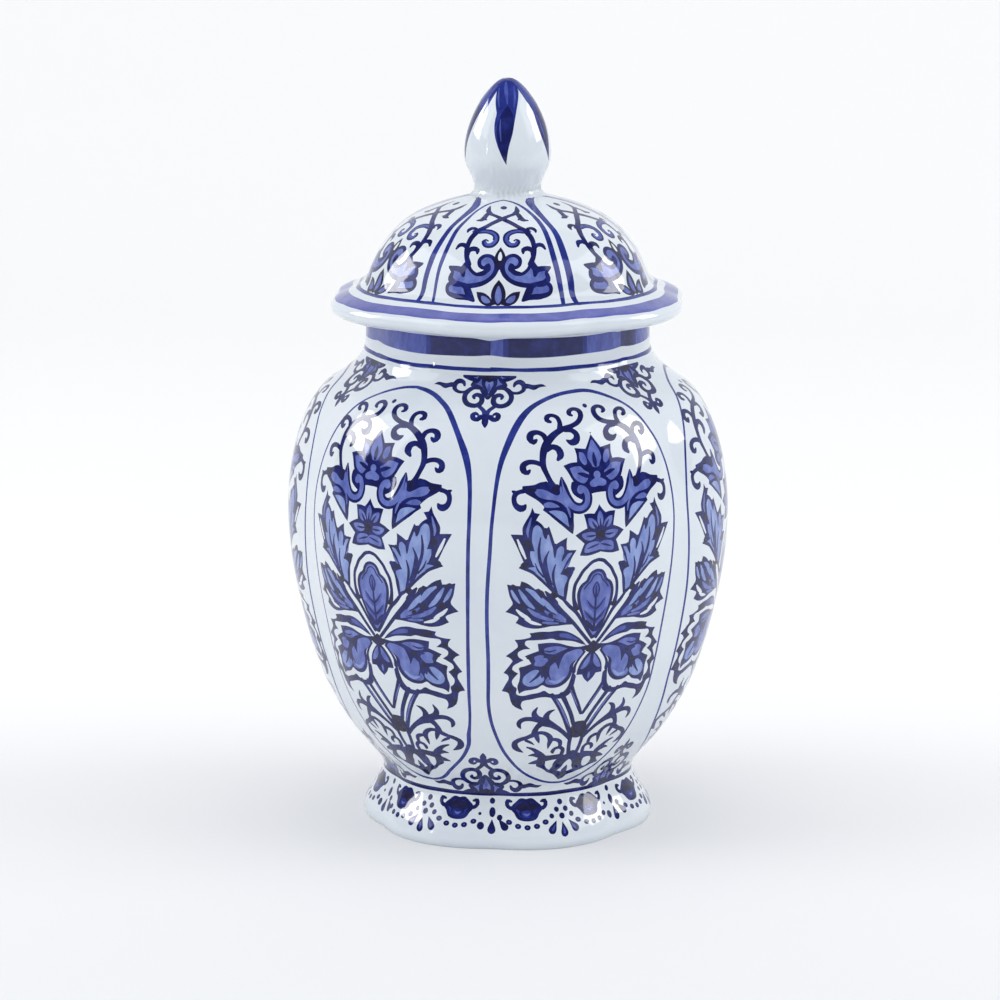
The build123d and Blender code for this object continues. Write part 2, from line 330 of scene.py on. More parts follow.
    half.shape([(-25.8, 127.2), (-24.4, 128.2), (-22.8, 126.8), (-22.1, 124.2), (-21.2, 122.8),
        (-20.2, 124.8), (-19.4, 122.6), (-18.4, 119.6), (-17.4, 116.4, 1), (-16.6, 119), (-15.2, 120.2),
        (-14.2, 119.6), (-14, 117), (-14.6, 114.4, 1), (-12.6, 117), (-10.8, 117.4), (-12.6, 114.4),
        (-13.8, 111.4), (-14.8, 109, 1), (-12, 107.6), (-12.9, 103.6), (-13, 99.4, 1), (-15.4, 100.6),
        (-18.6, 103.6), (-22.2, 107.2), (-25.6, 110), (-28.1, 111.2, 1), (-26, 112), (-27.2, 115.6),
        (-27.3, 117.9, 1), (-25.9, 118.6), (-26.6, 122)], kind="pale")
    half.shape([(-18.9, 114.4), (-17.4, 111.6), (-15, 108.6), (-12.1, 107.2), (-12.9, 103.6), (-13, 99.4, 1),
        (-15.4, 100.6), (-18.6, 103.6), (-22.2, 107.2), (-25, 109.6), (-23.4, 112.6),
        (-21, 113)], kind="wash")
    half.strokes(
        [(-29.2, 121.4, 2.6), (-28, 119.6, 2.6), (-25.6, 118.2, .5)],
        [(-29.8, 112.6, 1.8), (-27.4, 112.4, 1.8), (-25.3, 111.9, .4)],
        [(-23.2, 123.6, .5), (-23.8, 119, 1.1), (-23.4, 115, 1.3), (-21.7, 110.4, 1.5), (-19.4, 105.4, 1.4),
         (-17, 101.6, 1.4)],
        [(-19.8, 118.4, .4), (-21, 115.4, 1.1), (-21.1, 112.4, 2), (-19.9, 108.6, 1.5), (-18.2, 104.6, 1.2)],
        [(-17, 113, .5), (-17.7, 109.4, 1), (-17.2, 105.2, 1.1), (-16, 101.4, 1.1)],
        [(-21.2, 126.4, 1.8), (-21.1, 124.6, 1.2), (-21, 123, .4)],
        [(-17.5, 120.4, 1.8), (-17.5, 118, 1.3), (-17.4, 115.6, .4)],
        [(-12.6, 118.2, 1.2), (-13.6, 116.6, 1.4), (-14.6, 114.2, .4)],
        [(-10.2, 110.8, 2), (-12.4, 109.8, 2.4), (-14.8, 109, .5)])
    half.stroke([(-13.2, 111, .3), (-12.2, 112.4, .8), (-11.2, 114.4, .3)], kind="wash2")
    half.stroke([(-25.2, 113.4, .3), (-24, 110.6, .8), (-21.4, 107.6, .7)])
    for x, y, rx, ry in ((-28.3, 120.8, 1.4, 1.6), (-29.4, 112.2, 1.7, 1), (-16.8, 100.2, 1.7, 1.5),
            (-12.4, 109.7, 1.3, 1)):
        half.dot(x, y, rx, ry, kind="dark")

    # bud in the middle with its double outline
    m.shape(both([(0, 109.9), (-2.3, 109.2), (-3.7, 107.4), (-4.4, 105.6), (-6.4, 104), (-7.6, 101),
        (-7.5, 97.4), (-6.7, 94), (-5.8, 91.6), (-4.3, 87.8), (-2.4, 84), (0, 80.6)], 0), kind="base")
    m.shape(both([(0, 108.7), (-1.7, 108.1), (-2.7, 106.6), (-3.4, 104.9), (-5.3, 103.3), (-6.3, 100.6),
        (-6.2, 97.4), (-5.5, 94.2), (-4.4, 90.8), (-3, 87), (-1.5, 84), (0, 82)], 0))
    half.strokes(
        [(0, 107.8, .5), (-1.5, 107, .6), (-2.3, 105.2, .6), (-3.8, 103.6, .6), (-5, 101.8, .5)],
        [(0, 113.6, 1.4), (-2.3, 113, 1.4), (-4.3, 111.3, 1.4), (-6, 109.5, 1.4), (-7.2, 107.2, 1.4),
         (-8.6, 104.4, 1.4), (-9, 101, 1.4), (-8.8, 97.8, 1.5), (-8.1, 95.2, 2)])
    half.dot(-7.5, 94.2, 1.3, 1.1, kind="dark")
    m.shape(both([(0, 104.5, 1), (-1, 102.8), (-1.3, 101), (-.8, 99), (0, 97.3, 1)], 0), kind="mid", edge=.5)
    m.stroke([(0, 103, .4), (0, 98, .8), (0, 92, .9), (0, 84, 1)])
    half.strokes(
        [(-4, 97.6, .4), (-2.6, 95.2, 1.8), (-.2, 92.4, 1.9)],
        [(-4.6, 93.2, .4), (-3, 90.6, 2), (-.2, 87.6, 2)], kind="mid")
    half.stroke([(-3.5, 88.8, .4), (-2.2, 86.8, 1.8), (-.2, 84.2, 1.6)], kind="line")
    half.strokes(
        [(-3.4, 97, .2), (-1.9, 94.6, .7), (0, 92.9, .9)],
        [(-4, 92.4, .2), (-2.2, 90, .8), (0, 88, .9)])

    # stems beside the bud
    half.strokes(
        [(-13, 98.2, 1.2), (-10.6, 95.4, 1.5), (-7.6, 92.4, 1.5), (-5.3, 88.8, 1.3), (-3, 84.8, 1.2),
         (-.6, 81, 1.2)],
        [(-17.4, 97.4, 2.6), (-14, 94, 1.6), (-11, 90.8, 1.6), (-8, 87.4, 1.5), (-5, 83.6, 1.4),
         (-1.4, 79, 1.4)],
        [(-20.4, 101.6, .8), (-18.6, 99.6, 2.2), (-16, 96.8, 2)])
    half.stroke([(-21.4, 101.8, .5), (-20, 100.6, 1), (-18.8, 99.6, .5)], kind="white")

    # middle serrated leaf: a dark shape with long light dabs
    half.shape([(-36.1, 103.9, 1), (-33.4, 103.6), (-30.9, 103.5, 1), (-30.5, 105.6, 1), (-28.2, 104.9),
        (-26, 103.5), (-24.7, 102.4, 1), (-23.2, 102.9, 1), (-21.2, 101.2), (-19.6, 99.2), (-17.8, 97.8),
        (-15.6, 95.6), (-13, 92.8), (-10.6, 90), (-8.4, 87.4, 1), (-11.5, 87.5), (-15, 87.2), (-18, 87),
        (-20.6, 86.4), (-24, 85.9), (-28, 86.3), (-32, 87.9, 1), (-30.9, 90.2), (-33.4, 91.5),
        (-36.2, 92.3, 1), (-34.7, 94), (-33.5, 95.9), (-34.8, 98.9)], kind="base")
    half.strokes(
        [(-34.2, 101.4, .8), (-32.6, 98.6, 1.5), (-30.7, 96.2, .6)],
        [(-31.2, 101.8, .8), (-29, 98.6, 1.9), (-26.6, 95.8, 1.7), (-24.6, 94.2, .6)],
        [(-28.2, 102.4, 1), (-25.6, 100.9, 2), (-23, 98.2, 1.9), (-21, 96, .9)],
        [(-21.6, 98.6, .8), (-19.6, 96.2, 2), (-17.2, 93.8, 1.6), (-15.6, 92.6, .8)], kind="pale")
    half.strokes(
        [(-27.2, 94, .8), (-24.4, 92, 1.8), (-20.4, 90.6, 1.9), (-17, 89.6, 1)],
        [(-20.6, 93.6, .6), (-18.4, 92, 1.4), (-15, 90.2, 1.8), (-11.8, 88.8, .8)],
        [(-16.2, 92.8, .6), (-14.2, 91.2, 1.6), (-12, 89.6, 1)],
        [(-21.4, 88.6, .6), (-18.4, 88.4, 1.2), (-14.6, 88.2, .5)], kind="wash")
    half.strokes(
        [(-32, 93.6, .6), (-30, 91.8, 1.5), (-27.4, 90.2, 1.4), (-26, 89.4, .5)],
        [(-28.4, 89.7, .5), (-25.4, 88.4, 1.4), (-21.7, 87.6, .5)], kind="white")
    half.strokes(
        [(-29, 100.6, .3), (-26.4, 97.4, .8), (-24.4, 95.4, .3)],
        [(-22.4, 92, .3), (-18.6, 90.9, .7), (-14, 89.4, .3)])
    for x, y, rx, ry in ((-29.8, 94.6, 1.7, 1), (-22.2, 94.2, 1.5, .9), (-18, 91.6, 1.2, .9),
            (-33, 103, 1.6, .7), (-29.4, 104, 1.3, .8), (-22, 101.2, 1.4, .8)):
        half.dot(x, y, rx, ry, -35, kind="dark")

    # big lower leaf: upper strip, jagged outer ribbon, then the body
    half.shape([(-2.6, 78, 1), (-5, 80.8), (-8, 83.1), (-11, 84.6), (-14.4, 85.2), (-18, 84.8), (-22, 84.7),
        (-26.3, 83.9, 1), (-25.6, 82.6), (-26.2, 82, 1), (-29, 81.2), (-32, 80.8, 1), (-30.8, 79.2),
        (-30.4, 77.8, 1), (-32.4, 75.8), (-34.9, 73.6, 1), (-32.9, 72.7), (-31.9, 71.5, 1), (-33, 69.4),
        (-34.9, 66, 1), (-33.1, 65.1), (-32.5, 63.5), (-33.4, 60.6), (-34.4, 57.5, 1), (-31.7, 56.8),
        (-30.7, 54.8), (-29.8, 52.6), (-27.8, 50.4), (-24.3, 48.9, 1), (-25.6, 51.2), (-25.3, 53.2),
        (-22, 54.3), (-18.6, 55.3), (-16.4, 55.4), (-13.6, 54.8), (-10.4, 54.6), (-7.2, 56.4), (-6, 60),
        (-5.6, 64.6, 1), (-7.2, 66.6), (-7.9, 63), (-8.8, 59.4), (-10.6, 57.2), (-13, 56.6), (-15.8, 57.2),
        (-17.8, 58.5), (-19.6, 57.6), (-22.6, 56.8), (-26, 55.8), (-28.4, 56.6), (-28.6, 59.2), (-30.2, 60.4),
        (-31, 62.4), (-30.2, 64.4), (-29.1, 66.1, 1), (-31.6, 67.8), (-31.4, 69.4), (-29.5, 71),
        (-27.7, 72.2, 1), (-29.9, 73.7), (-30.2, 75.4), (-28, 76.9), (-25.5, 77.2, 1), (-27.8, 79.2),
        (-27.5, 80.5), (-24, 81), (-20, 81.4), (-17, 81.8), (-15, 81.1), (-12, 80.9), (-8, 80.2),
        (-5, 78.9)], kind="base")
    half.shape([(-14, 83.8), (-11.2, 83.8), (-8.4, 82.5), (-5.8, 80.5, 1), (-8.6, 81.2), (-11.6, 82),
        (-13.9, 82.6)], kind="mid")
    half.shape([(-2.2, 78.1, 1), (-6, 77.7), (-10, 78.5), (-14, 79.8), (-18, 80.1), (-22.8, 79.6, 1),
        (-22.4, 77.6), (-22.2, 76.5, 1), (-24.6, 75.5), (-27.5, 74, 1), (-26.1, 72.9), (-24.6, 70.8, 1),
        (-26.6, 69.8), (-29.2, 68.6, 1), (-28.4, 66), (-28.2, 62.8), (-28.5, 60), (-27.3, 56.7, 1),
        (-25.6, 58.1), (-22.8, 58.8), (-20.6, 59.7), (-19, 61.1), (-17, 60.1), (-14.6, 59.7), (-12, 60.2),
        (-9.8, 61.7), (-8.1, 64.2), (-7.4, 67.4), (-7.2, 70.4), (-5.6, 72.6), (-3.4, 75)], kind="base")
    half.shape([(-20, 77.4), (-17, 78.4), (-13.4, 78.4), (-10.4, 77.4, 1), (-13, 76.4), (-15.8, 75.1),
        (-17.8, 75.3), (-19.8, 75.9)])
    half.shape([(-23.8, 73.6), (-21.4, 74.8), (-19.4, 74.1), (-17.9, 71.9), (-19, 70.2), (-21.4, 69.7),
        (-23.4, 70.3), (-23.1, 72)], kind="wash")
    half.shape([(-26.8, 64.4), (-25, 66.8), (-22.6, 68.2), (-20.6, 67.4), (-19.4, 65.8), (-18.6, 63.6),
        (-19.7, 61.9), (-21.6, 60.7), (-24.6, 60.4), (-26.7, 61.9)], kind="pale")
    half.shape([(-16.3, 71), (-15, 71.5), (-13.9, 70.4), (-13.4, 69, 1), (-12.6, 72.4), (-11.4, 75),
        (-9, 76.2), (-5, 76.6), (-3.8, 75.3), (-5, 72.8), (-7.6, 71.4), (-8.8, 69.8), (-8.9, 67), (-10, 64.2),
        (-12, 62.1), (-15, 61.2), (-17.6, 61.8), (-18.2, 63.2), (-17.2, 65.4), (-17.5, 68.6)], kind="wash")
    half.stroke([(-16.2, 63, .8), (-13.4, 62.4, 1.4), (-10.6, 64.6, .8)], kind="pale")
    half.strokes(
        [(-8.4, 77, 1), (-12.4, 75.6, 1.8), (-15.4, 73.4, 2.8), (-17.8, 70.6, 2.4), (-19.4, 67.8, 2),
         (-19.6, 65, 1)],
        [(-14.8, 73.8, 2.2), (-14, 71.4, 1.6), (-13.4, 68.6, .3)],
        [(-16.4, 73.2, 1.6), (-18.4, 74, 1.4), (-20.2, 73.8, .4)],
        [(-17.8, 70, 1.6), (-17.5, 66.6, 1), (-16, 63.4, .3)],
        [(-19.6, 69, 2), (-21.4, 65.4, 1.4), (-24.1, 62.1, .5)],
        [(-20.2, 76.6, .4), (-17.8, 76.2, .8), (-15, 77, .3)])
    for x, y, rx, ry in ((-22.6, 83, 2.2, .9), (-29.4, 78, 1.2, 1.2), (-31.6, 73.6, 1.2, 1.1),
            (-31.8, 66.4, 1.3, 1.2), (-31.4, 58.4, 1.6, 1.4), (-28, 68.4, .9, .9), (-15.6, 73.4, 1.1, .9),
            (-28.4, 52.4, 1, 1.4), (-25.8, 73.4, 1, .7), (-19.2, 69, .9, 1.4)):
        half.dot(x, y, rx, ry, kind="dark")
    # knot and the small leaf below it
    m.shape([(.2, 79.8), (-1.6, 78.2), (-3.4, 77.2), (-2.6, 75.6), (-.8, 74.6), (.6, 74.2), (1.8, 74.8),
        (3.4, 76), (4.2, 77.2), (2, 78.4)], kind="dark")
    m.shape(both([(-.1, 76, 1), (-2.5, 73.4), (-4.6, 70), (-5.4, 67), (-5.5, 65.1, 1), (-3.1, 65, 1),
        (-2, 63), (-.1, 61, 1)], -.1), kind="base")
    half.shape([(-.4, 74, 1), (-1.8, 72.4), (-3.3, 69.8), (-4.1, 67.6), (-3, 67.6), (-1.4, 68.9),
        (-.5, 70.6, 1)])
    m.stroke([(-.2, 66, .3), (-.2, 64.6, 1.1), (-.1, 63, .4)], kind="wash2")
    half.stroke([(-3, 75.2, .8), (-5.4, 72, 1), (-6.6, 69.4, 1.2), (-6.8, 66.6, 1.6)])
    # stems
    half.strokes(
        [(-7.2, 60.4, 2.2), (-5, 55.6, 1.8), (-2.8, 51.2, 1.8), (-.5, 46.4, 1.4)],
        [(-10.4, 56.6, 2.2), (-7.4, 51.4, 1.8), (-4.7, 46.2, 1.8), (-2.8, 41.4, 1.8)],
        [(-14.4, 56.4, 1.8), (-10.8, 51.4, 2), (-7.6, 45.8, 2), (-4.9, 40, 2), (-3, 35.6, 1.8)])
    half.strokes(
        [(-12.4, 54.4, .3), (-9.4, 49.8, .7), (-6.4, 44.2, .7), (-4.4, 40.4, .3)],
        [(-7, 58.4, .3), (-4.6, 54, .5), (-2.6, 50.2, .3)], kind="wash2")
    m.shape(both([(-.1, 42.6), (-2.6, 42.2), (-3.6, 39.6), (-3.4, 36.8), (-2.4, 34.6),
        (-.1, 33.8)], -.1), kind="dark")
    half.stroke([(-2.8, 36, 1.8), (-2.8, 32, 1.7), (-2.4, 28, 1.7), (-1.8, 24.6, 1.8)])

    # lower sprigs
    half.stroke([(-3.2, 33.8, 1.6), (-5.4, 36.5, 1.8), (-8.4, 39.4, 2), (-11.8, 41.8, 2.8), (-14.6, 43.2, 4),
        (-15.8, 43.8, 3.4)])
    half.stroke([(-9, 40.2, .3), (-11.4, 42.2, 1.3), (-13, 43.6, .4)], kind="mid")
    half.strokes(
        [(-14.5, 44, 3), (-14.8, 46.4, 2.4), (-13.8, 48.3, 1.7), (-11.9, 49.3, .4)],
        [(-16, 44, 3.2), (-18.6, 45.6, 2.6), (-19.8, 47.9, 2), (-19, 50.7, .5)],
        [(-16.4, 44, 2.4), (-20.4, 44.9, 2.1), (-23.4, 44.5, 2.2), (-24.8, 42.9, 2.1), (-24.4, 41.1, 1.5),
         (-23.5, 39.9, .4)],
        [(-15.8, 43, 3.2), (-17.5, 40.4, 2.2), (-17.8, 38, 2.6), (-17.4, 36.8, 2.4)],
        [(-17.6, 37.2, 2.6), (-20.4, 35.3, 2.1), (-22.9, 34.1, 2.2), (-24.6, 32.3, 2.5), (-24.2, 30, 2.6),
         (-22.6, 28.3, 2), (-20.3, 26.9, .4)],
        [(-17.2, 37.8, 1.8), (-14.5, 37.9, 1.8), (-12.2, 36.5, 2), (-10.9, 34.3, 2.3), (-11, 31.4, 1.5),
         (-11, 29, .4)],
        [(-11, 34.2, 1.6), (-8.6, 33.9, 1.8), (-6.9, 32.7, 1.8), (-6.4, 30.7, 1.6), (-6.4, 29.2, 1.4)],
        [(-4.7, 25.2, 1.8), (-4.8, 27.8, 1.7), (-6.3, 29.3, 1.7), (-8.2, 28.7, 1.7), (-8.8, 27, 1.7),
         (-8.3, 25.8, .6)],
        [(-17, 36.8, 2.2), (-15.8, 34.2, 1.5), (-15, 32.3, .3)],
        [(-20.4, 33.8, 1.4), (-18.4, 32.7, 1.2), (-16.7, 31.4, .3)],
        [(-19.6, 30.1, .7), (-17, 29, 1.5), (-15, 27.4, 2.1), (-13.2, 25.2, 3), (-11.8, 23.4, 3)],
        [(-13.2, 24.8, 2.8), (-15.6, 25.5, 2.1), (-17.9, 25, .5)],
        [(-12.8, 21, 3.4), (-15, 20.4, 2.3), (-16.8, 19.7, .5)])
    m.shape([(-13.4, 25), (-10.4, 24.8), (-7.6, 25), (-5, 25.2), (-3.4, 24.4), (-2.2, 25.4), (-1, 26.6),
        (.2, 26.6), (1.6, 25.4), (3, 24.4), (5, 25), (8, 24.4), (11, 23.6), (13.4, 22, 1), (12.8, 19),
        (14.6, 15.7, 1), (10, 14), (7, 12.3), (4, 11), (1.1, 9.6), (.2, 7.8), (-1.3, 6.9, 1), (-3.2, 9.4),
        (-5, 11.4), (-7.6, 13), (-10, 15.5), (-13.2, 17.8, 1), (-13.8, 20.5)], kind="base")
    m.dot(-9, 23.6, 2.4, .9, kind="dark")
    m.dot(3.4, 18, 1.4, 4.2, 4, kind="dark")
    m.dot(-1.2, 10.2, 1.4, 2, kind="dark")
    m.dot(11.2, 18.6, 1.4, 2.4, 10, kind="dark")
    m.dot(-12, 20.2, 1.2, 1.6, kind="dark")
    m.shape([(-10.3, 21, 1), (-8.2, 21.6), (-6.2, 21.9, 1), (-6.9, 19.4), (-6.7, 17), (-7.2, 14.7, 1),
        (-8.6, 16), (-9.8, 18.2)], kind="cut")
    m.shape([(-.6, 21.1), (-2.1, 19), (-2.8, 16), (-3.9, 13.7, 1), (-2, 12.7), (-.6, 12.9), (1, 12.6),
        (2.7, 13.6, 1), (1.6, 16), (.9, 19)], kind="cut")
    m.shape([(6, 20.6), (8.8, 20.8), (9.8, 19), (9.2, 15.6), (7.5, 14.3), (6.2, 16)], kind="cut")
    m.stroke([(-.7, 17, .3), (-.8, 15.2, 1.6), (-.9, 13.4, 2.4), (-.9, 12.4, 2)], kind="line2")
    m.add(half, same)
    m.add(half, mirror(panel_axis))
    return m


def arch(left, right, step):
    """The line round an arched panel, from its top down the left and down the right side."""
    m = Motif()
    m.strokes(left, right, kind="frame", step=step)
    return m


def frame_thick_left():
    return arch(
        [(.3, 184.6, 1.9), (-4, 184.1, 1.8), (-8, 183, 1.8), (-13.6, 180.5, 1.9), (-19.3, 176.7, 2.1),
         (-24.6, 171.4, 2.4), (-28.9, 165.7, 2.5), (-32.7, 159.5, 2.4), (-36, 153.3, 2.1),
         (-38.4, 147.1, 1.8), (-40.3, 140.5, 1.6), (-41.8, 133.5, 1.5), (-43, 126, 1.5), (-43.6, 117, 1.6),
         (-44, 106, 1.6), (-43.9, 95, 1.6), (-43.2, 84.5, 1.6), (-41.8, 72, 1.6), (-40.4, 60, 1.6),
         (-39.2, 51.5, 1.5), (-36.8, 43.2, 1.4), (-33.3, 35.5, 1.3), (-29, 27.7, 1.3), (-24.6, 21.6, 1.3),
         (-20.3, 16.4, 1.2), (-15.9, 12.1, 1.2), (-11.6, 9, 1.2), (-7.2, 6.5, 1.2), (-3.7, 5.4, 1.2),
         (0, 5, 1.2)],
        [(.3, 184.6, 1.9), (4, 184.7, 1.9), (7.5, 184, 1.8), (12.1, 181.9, 1.7), (16.9, 178.8, 1.5),
         (20.7, 175.6, 1.3), (24.5, 171.4, 1.2), (28.3, 166.6, 1.15), (31.7, 161.4, 1.1), (34.8, 156.6, 1.1),
         (37, 151.8, 1.1), (38.8, 147, 1.15), (40.2, 141.2, 1.2), (41.4, 134, 1.2), (41.9, 127, 1.2),
         (41.6, 119, 1.25), (40.7, 108, 1.3), (38.9, 94, 1.4), (37, 79, 1.4), (35.4, 65, 1.4),
         (34.1, 54, 1.3), (31, 44.3, 1.2), (28.4, 37.3, 1.2), (25.4, 30.6, 1.2), (21.8, 24.4, 1.2),
         (18, 18.6, 1.2), (14.5, 13.9, 1.2), (10.2, 9.9, 1.2), (5.8, 6.8, 1.2), (2.6, 5.5, 1.2),
         (0, 5, 1.2)], 2.5)


def frame_thick_right():
    return arch(
        [(3, 185.4, 1.5), (-2, 184.6, 1.4), (-7.6, 182.4, 1.3), (-13, 179.2, 1.2), (-20, 173, 1.1),
         (-26.6, 165.2, 1.1), (-32, 157, 1.1), (-36.4, 148.6, 1.2), (-39.6, 139.6, 1.2), (-41.6, 130, 1.3),
         (-41.8, 119, 1.3), (-40.9, 107, 1.3), (-39.2, 93, 1.3), (-37.4, 79, 1.3), (-35.8, 65, 1.3),
         (-34.2, 54, 1.3), (-31, 44.3, 1.3), (-28, 37, 1.3), (-25, 30, 1.2), (-21.4, 23.6, 1.2),
         (-17.6, 17.8, 1.2), (-13.4, 12.4, 1.2), (-8, 7.4, 1.3), (-3, 5.2, 1.3), (2.5, 5, 1.2)],
        [(3, 185.4, 1.5), (8, 184.4, 1.9), (13, 182.3, 1.9), (17, 179.5, 1.9), (20.4, 176.8, 1.9),
         (23.8, 173.4, 1.9), (27.2, 169.3, 2), (30.2, 165.2, 2), (33, 161, 2.2), (35.6, 156.8, 2.6),
         (37.6, 152.8, 2.6), (39.1, 148.8, 2.3), (40.2, 144.8, 1.9), (41.1, 140, 1.7), (41.7, 134, 1.7),
         (42, 128, 1.6), (42, 121, 1.6), (41.8, 114, 1.6), (41.4, 107, 1.6), (40.9, 100, 1.6),
         (40.2, 93, 1.5), (39.5, 86.6, 1.4), (38.7, 80, 1.4), (37.9, 73, 1.5), (37, 66, 1.5), (36, 60, 1.4),
         (34.9, 54, 1.3), (33.4, 46.8, 1.2), (31.6, 40.8, 1.2), (29.6, 35.6, 1.7), (28.2, 31, 1.6),
         (25.8, 26.8, 1.4), (22.4, 22.2, 1.3), (17.8, 17.3, 1.3), (13.2, 12.6, 1.3), (9.8, 8.8, 1.4),
         (6.4, 6.3, 1.3), (2.5, 5, 1.2)], 2.5)


# ---- motif in each valley, under the neck and turned over above the foot ----
def valley_motif():
    m = Motif(1.22)
    half = Motif(1.22)
    m.shape(both([(0, 193.4, 1), (-5.6, 193.3, 1), (-10.2, 192.2, 1), (-7.4, 191), (-5.6, 190.6, 1),
        (-6.2, 189.4), (-6.9, 188.3, 1), (-5, 187.8), (-3.3, 187, 1), (-2, 184.4),
        (-.2, 181.7, 1)], -.1), edge=1.2)
    m.shape(both([(-.1, 189.6), (-1.7, 190.4), (-4.2, 191.6), (-5.4, 193.2, 1)], -.1), kind="dark")
    half.strokes(
        [(-2.2, 191, 1.6), (-2.4, 188.8, 1.2), (-1.4, 186.4, 1), (-.2, 183.4, .6)],
        [(-4.2, 191.2, 1.2), (-5, 189.8, .9), (-6, 188.8, .3)],
        [(-5.6, 192.6, 1.3), (-7.6, 192.2, 1), (-9.4, 192.1, .5)])
    m.stroke([(-.1, 189, .5), (-.1, 187, 1.1), (-.1, 185, .5)], kind="mid")
    half.strokes(
        [(-3.6, 187, 1.5), (-6.2, 187, 1.5), (-8.2, 185.5, 1.8), (-9.4, 183, 1.7), (-9.2, 180.4, 1.8),
         (-7.6, 178.1, 2.1), (-5, 177.4, 2.1), (-3, 178.5, 2), (-2.3, 180.7, 1.8), (-3, 182.8, 1.8),
         (-4.6, 183.5, 1.8), (-5.8, 182.6, 1.4), (-5.5, 181.5, .9)],
        [(-7.8, 186.2, 1.4), (-9.6, 184.8, 1.2), (-12.2, 184.8, 1.3), (-13.9, 186.3, 1.5),
         (-13.7, 188.8, 1.7), (-12.1, 190, 1.8), (-10.4, 189.3, 1.4), (-10, 188, .8)])
    half.shape([(-13.4, 186.8), (-15.6, 187), (-18, 186.2), (-20.4, 187.5), (-22.9, 187.8, 1), (-21, 189),
        (-17.6, 188.7), (-15.2, 189.3), (-13.2, 189)], kind="line")
    half.strokes(
        [(-3.8, 177.8, 1.6), (-2.2, 176.1, 1.5), (-.9, 174.4, 1.6), (-.2, 172.4, 2), (-.1, 170.6, 2)],
        [(-.4, 171.2, 1.8), (-2, 171.2, 1.8), (-3.2, 170.2, 1.7), (-4.8, 170.6, 1.8), (-5.2, 172.2, 1.8),
         (-4.2, 173.2, 1.5), (-3.2, 172.5, .9)])
    half.stroke([(-1, 172.4, .5), (-2.4, 171.6, 1.6), (-3.4, 171.6, .6)], kind="mid")
    m.stroke([(0, 171, 2), (0, 169, 2.3), (.1, 167.8, 1.7), (.1, 166.5, .4)])
    m.add(half, same)
    m.add(half, mirror(0))
    return m


# ---- foot band ----
def foot_group():
    """Dots and drops in the middle of a lobe."""
    m = Motif()
    for x, y, r in ((.2, 20.2, 1.15), (-1.8, 17.2, 1.05), (2.1, 17.1, 1.1), (-4.3, 14.6, 1), (0, 14.3, 1.2),
            (4.3, 14.6, 1.05)):
        m.dot(x, y, r, r * 1.1)
    for x, y, lean in ((-4.4, 9.9, -32), (-.2, 8.6, 3), (4.2, 9.8, 34)):
        m.drop(x, y, 6.2, 3, lean)
        m.drop(x, y - .3, 3.2, 1, lean, kind="mid2")
    return m


def foot_blob():
    """A dark cup with two curls and the beads below it."""
    m = Motif()
    m.shape([(-5.6, 17.9), (-3.5, 20.3), (-2, 21.5), (0, 21.1), (2, 21.5), (3.7, 20.1), (5.6, 17.9),
        (4.4, 16.2), (3.2, 14), (0, 13.3), (-3.2, 14), (-4.4, 16.2)], kind="frame", edge=1.4)
    m.shape([(-4.2, 18.4), (-1.6, 20.5), (1.4, 20.5), (4.2, 18.4), (2.4, 16.6), (0, 17.2),
        (-2.4, 16.6)], kind="dark")
    m.strokes(
        [(-2.4, 17.2, .5), (-2.5, 15.4, 1), (-1.6, 14.4, .3)],
        [(2, 17.2, .5), (2.4, 15.6, 1), (1.6, 14.4, .3)])
    m.stroke([(-1.2, 15.8, .3), (0, 15.1, 1), (1.2, 15.8, .3)], kind="wash2")
    for s in (-1, 1):
        m.stroke([(s * 4.6, 18.2, 1.9), (s * 6.6, 18, 1.7), (s * 7.8, 19.3, 1.7), (s * 7.4, 21, 1.8),
                  (s * 6, 20.8, 1)])
    for x, y in ((-7.4, 12), (-3.8, 10.4), (0, 9.9), (3.8, 10.4), (7.4, 12)):
        m.dot(x, y, 1.3, 1.15)
        m.dot(x, y + .1, .35, .3, kind="mid2")
    return m


def foot_valley():
    """Dots and drops at a valley."""
    m = Motif()
    m.dot(0, 21.1, 1.15, 1.3)
    m.dot(.2, 16.3, 1.35, 2.2)
    m.drop(.2, 10.1, 6.2, 3.4)
    m.dot(-5, 15.6, .7)
    m.dot(3.4, 14.1, 1.2, 1.3)
    m.dot(-4.5, 10.4, 1.55, 1.7)
    m.drop(4.9, 11.2, 6, 3, 40)
    return m


# ---- lid ----
def lid_front_lines():
    """Thin arch."""
    return arch(
        [(-.6, 78.9, .9), (-3.8, 77.1, .9), (-7.4, 73.9, .9), (-10.4, 70, 1), (-13.4, 65, 1.1),
         (-16.2, 59.8, 1.4), (-19.8, 53.2, 1.7), (-22.2, 47, 1.9), (-24.4, 41, 1.9), (-26.4, 35, 1.7),
         (-27.6, 29, 1.5), (-28.3, 24, 1.4), (-28.8, 20, 1.3)],
        [(-.6, 78.9, .9), (2.2, 77.5, 1), (5, 75, 1.1), (8, 71, 1.3), (10.8, 66.4, 1.5), (14.6, 59.4, 1.8),
         (17.2, 53.6, 2), (19.4, 47.4, 2.2), (21.4, 41, 2.4), (23.4, 34.6, 2.4), (24.9, 28.6, 2.3),
         (25.9, 24, 2), (26.6, 20, 1.8)], 2)


